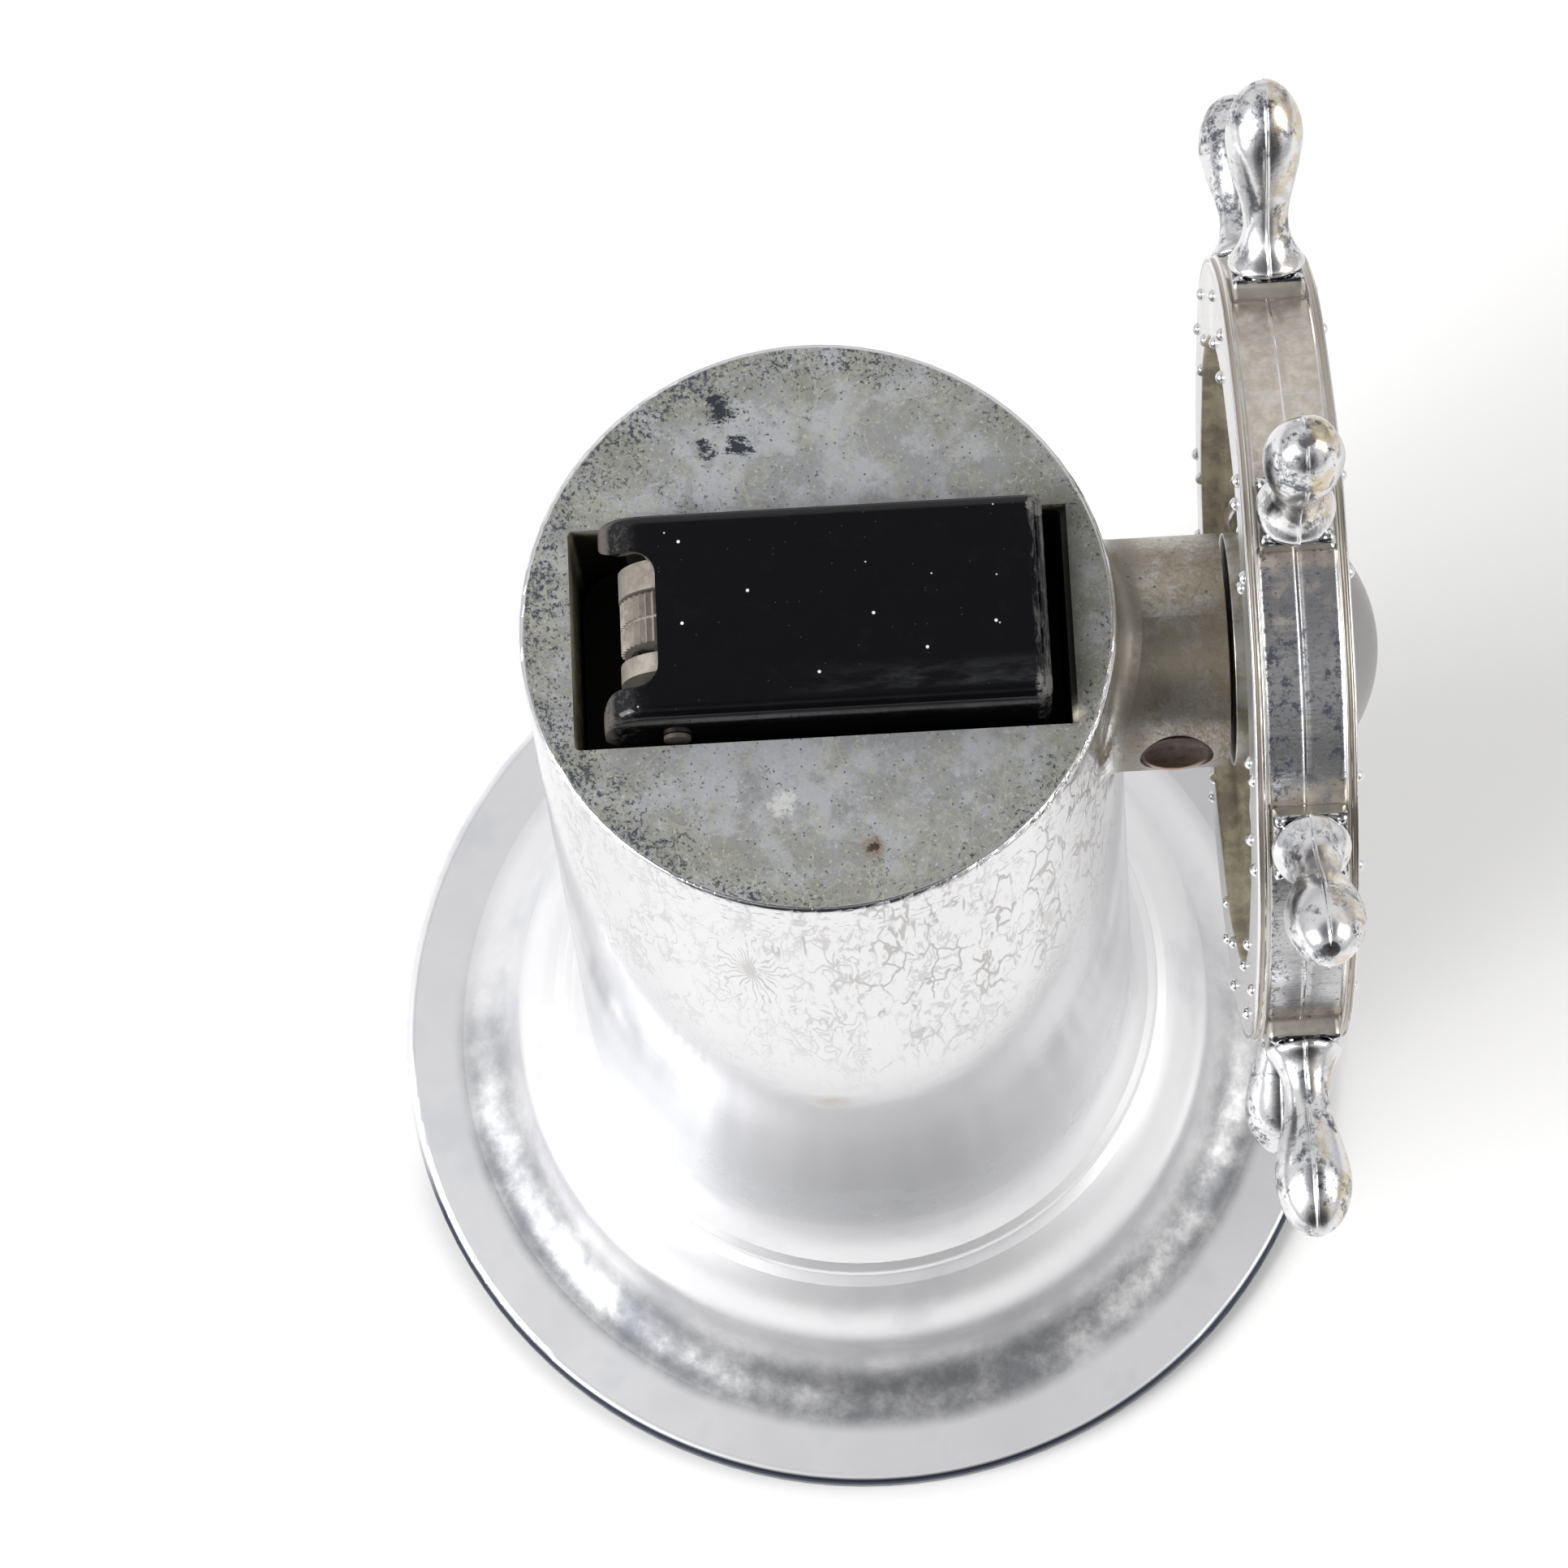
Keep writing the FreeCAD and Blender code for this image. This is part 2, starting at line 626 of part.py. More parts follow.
# ---------------------------------------------------------------- insert: striking gear
def burner_frame():
    """Folded sheet that stands on the tank and carries the pivot pin."""
    deck = TANK_Z[1]
    low = INSERT_Y - FRAME_HALF_WIDTH
    high = INSERT_Y + FRAME_HALF_WIDTH
    base = box(PIVOT_X - 1.6, FRAME_END_X, low, high, deck, deck + FRAME_T)
    base = base.cut(cylinder_z(WICK_TUBE_R + 0.05, deck - 1, deck + 2, WICK_X, INSERT_Y))
    base = base.cut(cylinder_z(TUBE_HOLE_R, deck - 1, deck + 2, PIVOT_X, FLINT_Y))
    sides = []
    for y0 in (low, high - FRAME_T):
        leg = plate_y([
            (PIVOT_X - 1.6, deck),
            (PIVOT_X + 8.0, deck),
            (PIVOT_X + 8.0, deck + 2.0),
            (PIVOT_X + 2.6, PIVOT_Z + 1.0),
            (PIVOT_X - 1.6, PIVOT_Z + 1.0),
        ], y0, y0 + FRAME_T)
        ear = cylinder_y(3.1, y0, y0 + FRAME_T)
        low_rail = box(PIVOT_X + 8.0, FRAME_END_X, y0, y0 + FRAME_T, deck, deck + 2.0)
        sides += [leg, ear, low_rail]
    frame = base.multiFuse(sides)
    return frame.cut(cylinder_y(PIN_R + FIT, low - 1, high + 1)).removeSplitter()


def wheel_bracket():
    """Brass bracket: two round cheeks either side of the spark wheel on one foot."""
    foot_z = TANK_Z[1] + FRAME_T
    foot = box(PIVOT_X - 1.6, PIVOT_X + 3.4, FRONT_CHEEK_Y[0], REAR_CHEEK_Y[1], foot_z, foot_z + 2.2)
    pieces = []
    for y0, y1 in (FRONT_CHEEK_Y, REAR_CHEEK_Y):
        pieces.append(cylinder_y(CHEEK_R, y0, y1))
        pieces.append(box(PIVOT_X - 1.6, PIVOT_X + 3.4, y0, y1, foot_z, PIVOT_Z))
    bracket = foot.multiFuse(pieces)
    bracket = bracket.cut(cylinder_y(PIN_R + FIT, -9, 9))
    return bracket.cut(cylinder_z(TUBE_HOLE_R, foot_z - 1, PIVOT_Z - SPARK_R, PIVOT_X, FLINT_Y)).removeSplitter()


def pivot_pin():
    """Pin with a domed head in front and a flat rivet head behind."""
    front = INSERT_Y - LID_HALF_WIDTH
    back = INSERT_Y + LID_HALF_WIDTH
    pin = cylinder_y(PIN_R, front - 0.1, back + 0.05)
    head = cylinder_y(0.95, front - 0.35, front - 0.05)
    rear = cylinder_y(1.05, back + 0.05, back + 0.22)
    return pin.multiFuse([head, rear])


def spark_wheel():
    """Hardened wheel with fine teeth, and a groove that splits them into two rows."""
    points = []
    for index in range(SPARK_TEETH * 2):
        angle = math.pi * index / SPARK_TEETH
        radius = SPARK_R - (SPARK_TOOTH if index % 2 else 0.0)
        points.append((PIVOT_X + radius * math.cos(angle), PIVOT_Z + radius * math.sin(angle)))
    wheel = plate_y(points, *SPARK_Y)
    middle = sum(SPARK_Y) / 2
    groove = cylinder_y(SPARK_R + 1, middle - 0.12, middle + 0.12)
    groove = groove.cut(cylinder_y(SPARK_R - SPARK_TOOTH, middle - 1, middle + 1))
    return wheel.cut(groove).cut(cylinder_y(PIN_R + RUNNING_FIT, -5, 5))


def lid():
    """Folded sheet lid, notched at the spark wheel, with a rolled lip at the far end."""
    x0, x1 = LID_X
    front = INSERT_Y - LID_HALF_WIDTH
    back = INSERT_Y + LID_HALF_WIDTH
    end_r = 0.8
    ear_z = COLUMN_TOP - 0.9
    quarter = 1 - math.sqrt(0.5)
    outside = plate_y([
        (x0, ear_z),
        (x0 + 2.0, LID_SKIRT_Z, 0.5),
        (x1, LID_SKIRT_Z),
        (x1, LID_TOP_Z - end_r),
        (x1 - end_r, LID_TOP_Z, end_r * quarter),
        (x0 + LID_NOSE_R, LID_TOP_Z),
        (x0, LID_TOP_Z - LID_NOSE_R, LID_NOSE_R * quarter),
    ], front, back)
    long_edges = []
    for edge in outside.Edges:
        bounds = edge.BoundBox
        at_side = bounds.YLength < 1e-6
        high = bounds.ZMin > ear_z + 0.2 and bounds.ZMax > LID_TOP_Z - 1e-3
        if at_side and high:
            long_edges.append(edge)
    outside = outside.makeFillet(0.9, long_edges)
    nose = LID_NOSE_R - LID_SHEET
    inside = plate_y([
        (x0 + LID_SHEET, LID_SKIRT_Z - 1),
        (x1 - LID_SHEET, LID_SKIRT_Z - 1),
        (x1 - LID_SHEET, LID_TOP_Z - LID_SHEET),
        (x0 + LID_NOSE_R, LID_TOP_Z - LID_SHEET),
        (x0 + LID_SHEET, LID_TOP_Z - LID_NOSE_R, nose * quarter),
    ], front + LID_SHEET, back - LID_SHEET)
    shell = outside.cut(inside)
    lip = cylinder_y(0.5, front + 0.7, back - 0.7, x1 - 0.45, LID_TOP_Z - 0.1)
    notch_centre = (x0 - 5 + NOTCH_X) / 2, (NOTCH_Y[0] + NOTCH_Y[1]) / 2
    notch_half = (NOTCH_X - x0 + 5) / 2, (NOTCH_Y[1] - NOTCH_Y[0]) / 2
    notch = block(notch_centre, notch_half, LID_SKIRT_Z - 2, LID_TOP_Z + 2, NOTCH_CORNER_R)
    shell = shell.cut(notch).fuse(lip)
    return shell.cut(cylinder_y(PIN_R + RUNNING_FIT, front - 2, back + 2))


def drive_pawl():
    """Steel plate fixed under the lid; its hook pushes the wheel round as the lid opens."""
    top = LID_TOP_Z - LID_SHEET
    arm_end = WICK_X - SNUFFER_R - 0.5
    disc = cylinder_y(3.0, *PAWL_Y)
    arm = plate_y([
        (PIVOT_X - 0.4, PIVOT_Z + 2.6),
        (PIVOT_X + 2.2, PIVOT_Z - 1.6),
        (arm_end, top - 1.2),
        (arm_end, top),
        (PIVOT_X + 0.6, top),
    ], *PAWL_Y)
    foot = box(PIVOT_X + 3.4, arm_end, PAWL_Y[0], PAWL_Y[1] + 2.2, top - 0.5, top)
    hook_gap = box(PIVOT_X - 2.4, PIVOT_X - 1.2, PAWL_Y[0] - 1, PAWL_Y[1] + 1, PIVOT_Z + 1.4, PIVOT_Z + 4)
    plate = disc.multiFuse([arm, foot]).cut(hook_gap)
    return plate.cut(cylinder_y(PIN_R + RUNNING_FIT, -5, 5)).removeSplitter()


def snuffer_cap():
    """Brass cup under the lid that shuts over the wick."""
    top = LID_TOP_Z - LID_SHEET
    bottom = COLUMN_TOP - 3.1
    cup = cylinder_z(SNUFFER_R, bottom, top, WICK_X, INSERT_Y)
    return cup.cut(cylinder_z(SNUFFER_R - 0.4, bottom - 1, top - 0.6, WICK_X, INSERT_Y))


def lid_spring():
    """Torsion spring wound round the pivot pin behind the rear cheek."""
    turn = 0.4
    spring = coil(1.35, SPRING_WIRE_R, turn, 2 * turn, Vector(0, 0, 0))
    spring.rotate(Vector(0, 0, 0), Vector(1, 0, 0), -90)
    spring.translate(Vector(PIVOT_X, REAR_CHEEK_Y[1] + 0.22, PIVOT_Z))
    return spring


# ---------------------------------------------------------------- write the nodes
save(column(), "column")
save(base_cover(), "base_cover")
save(felt_pad(), "felt_pad")
save(cover_screws(), "cover_screws")
save(wheel_axle(), "wheel_axle")
save(retaining_plug(), "axle_retaining_plug")
save(ring_washer(AXLE_R + 0.1, 5.5, BOSS_END_X, BOSS_END_X + 0.25), "thrust_washer")
save(ring_washer(AXLE_R + 0.1, 5.2, HUB_RECESS_X + 0.12, AXLE_HEAD_X[0]), "axle_washer")
save(ships_wheel(), "ships_wheel")
save(hub_cap(), "hub_cap")
save(tank_shell(), "tank_shell")
save(tank_bottom(), "tank_bottom")
save(filler_screw(), "filler_screw")
save(filler_gasket(), "filler_gasket")
save(cotton_wadding(), "cotton_wadding")
save(wick_tube(), "wick_tube")
save(wick(), "wick")
save(flint_tube(), "flint_tube")
save(flint(), "flint")
save(flint_spring(), "flint_spring")
save(flint_screw(), "flint_screw")
save(burner_frame(), "burner_frame")
save(wheel_bracket(), "wheel_bracket")
save(pivot_pin(), "pivot_pin")
save(spark_wheel(), "spark_wheel")
save(lid(), "lid")
save(drive_pawl(), "drive_pawl")
save(snuffer_cap(), "snuffer_cap")
save(lid_spring(), "lid_spring")
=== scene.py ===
"""Looks for the ship's-wheel table lighter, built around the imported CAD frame. Metres, +Z up."""

import math
import random

import bmesh
import bpy
from mathutils import Matrix, Vector


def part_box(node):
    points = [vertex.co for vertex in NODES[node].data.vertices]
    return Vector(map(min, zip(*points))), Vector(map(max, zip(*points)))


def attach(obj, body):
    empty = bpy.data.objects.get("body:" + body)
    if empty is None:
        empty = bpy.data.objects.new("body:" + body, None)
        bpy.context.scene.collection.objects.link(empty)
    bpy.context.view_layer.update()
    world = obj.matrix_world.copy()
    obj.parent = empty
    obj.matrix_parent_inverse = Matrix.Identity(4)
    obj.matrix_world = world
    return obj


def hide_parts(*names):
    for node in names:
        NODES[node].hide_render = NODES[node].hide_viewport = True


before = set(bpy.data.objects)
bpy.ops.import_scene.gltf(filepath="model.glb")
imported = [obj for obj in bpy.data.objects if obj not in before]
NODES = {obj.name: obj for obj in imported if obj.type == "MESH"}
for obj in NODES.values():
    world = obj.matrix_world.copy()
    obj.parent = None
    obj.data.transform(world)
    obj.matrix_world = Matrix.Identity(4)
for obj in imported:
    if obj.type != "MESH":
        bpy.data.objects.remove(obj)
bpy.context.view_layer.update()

MM = 0.001
TOP_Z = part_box("column")[1].z / MM  # top face of the column, in millimetres
HUB_LOW, HUB_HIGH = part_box("ships_wheel")
WHEEL_X = (HUB_LOW.x + HUB_HIGH.x) / 2 / MM
WHEEL_Z = (HUB_LOW.z + HUB_HIGH.z) / 2 / MM
HANDLE_TIP = (HUB_HIGH.z - HUB_LOW.z) / 2 / MM  # reach of a handle from the wheel's axis


# ---------------------------------------------------------------- camera and studio
def put(name, data):
    """A new object in the scene."""
    made = bpy.data.objects.new(name, data)
    bpy.context.scene.collection.objects.link(made)
    return made


def camera():
    """The photograph's view, from above and in front."""
    place = Vector((7.255, -109.406, TOP_Z + 329.703)) * MM
    yaw, pitch, roll = (math.radians(a) for a in (-5.879, 73.401, -8.786))
    forward = Vector((math.sin(yaw) * math.cos(pitch), math.cos(yaw) * math.cos(pitch), -math.sin(pitch)))
    level = Vector((math.cos(yaw), -math.sin(yaw), 0))
    upward = level.cross(forward)
    right = math.cos(roll) * level + math.sin(roll) * upward
    up = -math.sin(roll) * level + math.cos(roll) * upward
    data = bpy.data.cameras.new("camera")
    data.sensor_width = 36.0
    data.lens = 113.77
    data.clip_start = 0.01
    cam = put("camera", data)
    turn = Matrix((right, up, -forward)).transposed().to_4x4()
    cam.matrix_world = Matrix.Translation(place) @ turn
    bpy.context.scene.camera = cam


def softbox(name, place, aim, size, power, colour=(1, 1, 1)):
    data = bpy.data.lights.new(name, "AREA")
    data.shape = "RECTANGLE"
    data.size, data.size_y = size
    data.energy = power
    data.color = colour
    lamp = put(name, data)
    lamp.location = place
    lamp.rotation_euler = (Vector(aim) - Vector(place)).to_track_quat("-Z", "Y").to_euler()
    lamp.visible_camera = False


def floor():
    half = 1.5
    mesh = bpy.data.meshes.new("floor")
    corners = [(-half, -half, 0), (half, -half, 0), (half, half, 0), (-half, half, 0)]
    mesh.from_pydata(corners, [], [(0, 1, 2, 3)])
    put("floor", mesh)
    mat = bpy.data.materials.new("floor_white")
    mat.use_nodes = True
    bsdf = mat.node_tree.nodes["Principled BSDF"]
    bsdf.inputs["Base Color"].default_value = (0.93, 0.925, 0.92, 1)
    bsdf.inputs["Roughness"].default_value = 0.7
    mesh.materials.append(mat)


def sky():
    """White room: bright walls at mid height, a dim ceiling overhead and a dim front by the table."""
    world = bpy.data.worlds.new("studio")
    world.use_nodes = True
    tree = world.node_tree
    link = tree.links.new

    def new(kind):
        return tree.nodes.new("ShaderNode" + kind)

    back = tree.nodes["Background"]
    out = tree.nodes["World Output"]
    coord = new("TexCoord")
    split = new("SeparateXYZ")
    link(coord.outputs["Generated"], split.inputs[0])
    ramp = new("ValToRGB")
    link(split.outputs["Z"], ramp.inputs[0])
    stops = [
        (0.00, (0.72, 0.72, 0.74)),
        (0.15, (0.85, 0.85, 0.87)),
        (0.35, (1.00, 1.00, 1.00)),
        (0.76, (1.00, 1.00, 1.00)),
        (0.92, (0.30, 0.30, 0.32)),
        (1.00, (0.13, 0.13, 0.14)),
    ]
    elements = ramp.color_ramp.elements
    for index, (place, colour) in enumerate(stops):
        element = elements[index] if index < 2 else elements.new(place)
        element.position = place
        element.color = (*colour, 1)
    front = new("VectorMath")
    front.operation = "DOT_PRODUCT"
    front.inputs[1].default_value = Vector((0.05, -0.93, 0.36)).normalized()
    link(coord.outputs["Generated"], front.inputs[0])
    dim = new("MapRange")
    dim.interpolation_type = "SMOOTHSTEP"
    for socket, value in zip(dim.inputs[1:5], (0.68, 0.95, 1.0, 0.06)):
        socket.default_value = value
    link(front.outputs["Value"], dim.inputs[0])
    shade = new("VectorMath")
    shade.operation = "SCALE"
    link(ramp.outputs[0], shade.inputs[0])
    link(dim.outputs[0], shade.inputs["Scale"])
    link(shade.outputs[0], back.inputs[0])
    back.inputs[1].default_value = 0.86
    plain = new("Background")
    plain.inputs[0].default_value = (0.93, 0.93, 0.94, 1)
    path = new("LightPath")
    mix = new("MixShader")
    link(path.outputs["Is Camera Ray"], mix.inputs[0])
    link(back.outputs[0], mix.inputs[1])
    link(plain.outputs[0], mix.inputs[2])
    link(mix.outputs[0], out.inputs[0])
    bpy.context.scene.world = world


def studio():
    floor()
    sky()
    softbox("key", (-0.75, -0.28, 0.62), (0, 0, 0.06), (0.5, 0.7), 8.0)
    softbox("glint", (-0.66, -0.36, 0.72), (0, 0, 0.10), (0.10, 0.14), 0.8)
    softbox("fill", (0.72, -0.10, 0.60), (0, 0, 0.06), (0.4, 0.6), 2.6, (1.0, 0.985, 0.96))
    bpy.context.scene.view_settings.view_transform = "Standard"


# ---------------------------------------------------------------- material building
class Look:
    """A material built up in layers. Its fields work in millimetres of the part's own frame."""

    def __init__(self, name, colour, rough, metal=0.0, **fixed):
        self.mat = bpy.data.materials.new(name)
        self.mat.use_nodes = True
        self.tree = self.mat.node_tree
        self.bsdf = self.tree.nodes["Principled BSDF"]
        self.colour, self.rough, self.metal = (*colour, 1), rough, metal
        for socket, value in fixed.items():
            self.bsdf.inputs[socket.replace("_", " ").title()].default_value = value
        coord = self.node("TexCoord")
        scaled = self.node("VectorMath", operation="SCALE")
        scaled.inputs["Scale"].default_value = 1 / MM
        self.tree.links.new(coord.outputs["Object"], scaled.inputs[0])
        self.place = scaled.outputs[0]
        split = self.node("SeparateXYZ")
        self.tree.links.new(self.place, split.inputs[0])
        self.x, self.y, self.z = split.outputs
        self.height = 0.0

    def node(self, kind, **settings):
        made = self.tree.nodes.new("ShaderNode" + kind)
        for key, value in settings.items():
            setattr(made, key, value)
        return made

    def plug(self, socket, value):
        """Links a socket, or sets a constant."""
        if isinstance(value, bpy.types.NodeSocket):
            self.tree.links.new(value, socket)
        else:
            socket.default_value = value

    def calc(self, operation, a, b=0.0):
        made = self.node("Math", operation=operation)
        self.plug(made.inputs[0], a)
        self.plug(made.inputs[1], b)
        return made.outputs[0]

    def step(self, value, low, high, reach=1.0):
        """0 at low rising smoothly to reach at high; low may be above high."""
        made = self.node("MapRange", interpolation_type="SMOOTHSTEP")
        for socket, number in zip(made.inputs[:5], (value, low, high, 0.0, reach)):
            self.plug(socket, number)
        return made.outputs[0]

    def texture(self, kind, place, size, **settings):
        """A texture whose features are about size millimetres."""
        made = self.node("Tex" + kind, **settings)
        self.plug(made.inputs["Vector"], place)
        made.inputs["Scale"].default_value = 1.0 / size
        return made

    def noise(self, size, detail=3.0, rough=0.55, stretch=(1, 1, 1), twist=0.0, seed=0.0):
        """Noise from 0 to 1 whose largest blotches are about size millimetres."""
        made = self.texture("Noise", self.stretched(stretch, seed), size)
        made.inputs["Detail"].default_value = detail
        made.inputs["Roughness"].default_value = rough
        made.inputs["Distortion"].default_value = twist
        return made.outputs["Fac"]

    def stretched(self, stretch, seed=0.0):
        made = self.node("Mapping", vector_type="POINT")
        self.plug(made.inputs["Vector"], self.place)
        made.inputs["Scale"].default_value = stretch
        made.inputs["Location"].default_value = (seed * 3.1, seed * 7.7, seed * 5.3)
        return made.outputs[0]

    def warped(self, size, reach, stretch=(1, 1, 1), seed=0.0):
        """The place, pushed about by noise, for veins and ragged outlines."""
        source = self.stretched(stretch, seed)
        made = self.texture("Noise", source, size)
        made.inputs["Detail"].default_value = 2.0
        centred = self.node("VectorMath", operation="SUBTRACT")
        self.plug(centred.inputs[0], made.outputs["Color"])
        centred.inputs[1].default_value = (0.5, 0.5, 0.5)
        pushed = self.node("VectorMath", operation="MULTIPLY_ADD")
        self.plug(pushed.inputs[0], centred.outputs[0])
        pushed.inputs[1].default_value = (reach, reach, reach)
        self.plug(pushed.inputs[2], source)
        return pushed.outputs[0]

    def cracks(self, size, width, push=0.6, stretch=(1, 1, 1), seed=0.0):
        """1 on the borders of cells about size millimetres across, 0 beyond width."""
        place = self.warped(size, push * size, stretch, seed)
        made = self.texture("Voronoi", place, size, feature="DISTANCE_TO_EDGE")
        return self.step(made.outputs["Distance"], width / size, 0.25 * width / size)

    def veins(self, size, width, seed=0.0, stretch=(1, 1, 1), twist=0.8):
        """1 along wandering lines, the contours of a noise; width is in millimetres."""
        level = self.noise(size, 2.0, 0.6, stretch, twist, seed)
        away = self.calc("ABSOLUTE", self.calc("SUBTRACT", level, 0.5))
        slope = 0.55 * width / size
        return self.step(away, slope, 0.3 * slope)

    def specks(self, spacing, radius, seed=0.0, odds=0.5, spread="3D"):
        """1 inside scattered round grains of about that radius; odds is the share of cells that hold one."""
        place = self.stretched((1, 1, 1), seed)
        made = self.texture("Voronoi", place, spacing, feature="F1", voronoi_dimensions=spread)
        grain = self.step(made.outputs["Distance"], radius / spacing, 0.6 * radius / spacing)
        split = self.node("SeparateColor")
        self.plug(split.inputs[0], made.outputs["Color"])
        return self.both(grain, self.calc("LESS_THAN", split.outputs[0], odds))

    def near(self, point, inner, outer):
        """1 within inner millimetres of a point, 0 beyond outer."""
        made = self.node("VectorMath", operation="DISTANCE")
        self.plug(made.inputs[0], self.place)
        made.inputs[1].default_value = point
        return self.step(made.outputs["Value"], outer, inner)

    def star(self, centre, count, width, reach, squash):
        """Ragged lines that run out from a point on the front of the column, drawn tall by squash."""
        across = self.calc("SUBTRACT", self.x, centre[0])
        upward = self.both(self.calc("SUBTRACT", self.z, centre[2]), squash)
        angle = self.calc("ARCTAN2", upward, across)
        wobble = self.both(self.noise(1.5, 2, stretch=(1, 1, squash), seed=15.0), 1.2)
        turn = self.both(self.plus(angle, wobble), count / 2)
        ray = self.calc("ABSOLUTE", self.calc("SINE", turn))
        away = self.radius(across, upward)
        ray = self.both(ray, self.any(away, 0.35))
        return self.both(self.step(ray, width, 0.4 * width), self.step(away, reach, 0.3 * reach))

    def radius(self, a, b, a0=0.0, b0=0.0):
        """Distance from an axis that runs through (a0, b0)."""
        da = self.calc("SUBTRACT", a, a0)
        db = self.calc("SUBTRACT", b, b0)
        return self.calc("SQRT", self.plus(self.both(da, da), self.both(db, db)))

    def blotch(self, low, high, *shape, reach=1.0, **more):
        """Blotches of noise, from 0 where it is under low to reach where it is over high."""
        return self.step(self.noise(*shape, **more), low, high, reach)

    def band(self, value, start, full, last, end):
        """1 between full and last, fading to 0 at start and at end."""
        return self.both(self.step(value, start, full), self.step(value, end, last))

    def any(self, first, *masks):
        """Where at least one mask is."""
        for mask in masks:
            first = self.calc("MAXIMUM", first, mask)
        return first

    def both(self, first, *masks):
        """Where every mask is; also a field times a number."""
        for mask in masks:
            first = self.calc("MULTIPLY", first, mask)
        return first

    def plus(self, first, second):
        return self.calc("ADD", first, second)

    def blend(self, mask, under, over, kind):
        made = self.node("Mix", data_type=kind, clamp_factor=True)
        spot = {"FLOAT": 2, "RGBA": 6}[kind]
        self.plug(made.inputs[0], mask)
        self.plug(made.inputs[spot], under)
        self.plug(made.inputs[spot + 1], over)
        return made.outputs[{"FLOAT": 0, "RGBA": 2}[kind]]

    def layer(self, mask, colour=None, rough=None, metal=None):
        """Lays a finish over what is there, where mask is 1."""
        if colour is not None:
            over = colour if isinstance(colour, bpy.types.NodeSocket) else (*colour, 1)
            self.colour = self.blend(mask, self.colour, over, "RGBA")
        if rough is not None:
            self.rough = self.blend(mask, self.rough, rough, "FLOAT")
        if metal is not None:
            self.metal = self.blend(mask, self.metal, metal, "FLOAT")

    def between(self, mask, first, second):
        return self.blend(mask, (*first, 1), (*second, 1), "RGBA")

    def relief(self, height, depth):
        """Adds relief: height from 0 to 1 stands for depth millimetres."""
        self.height = self.plus(self.height, self.both(height, depth))

    def done(self):
        self.plug(self.bsdf.inputs["Base Color"], self.colour)
        self.plug(self.bsdf.inputs["Roughness"], self.rough)
        self.plug(self.bsdf.inputs["Metallic"], self.metal)
        bump = self.node("Bump")
        bump.inputs["Distance"].default_value = MM
        self.plug(bump.inputs["Height"], self.height)
        self.plug(self.bsdf.inputs["Normal"], bump.outputs[0])
        return self.mat


# ---------------------------------------------------------------- pedestal finishes
CHROME = (0.72, 0.72, 0.735)


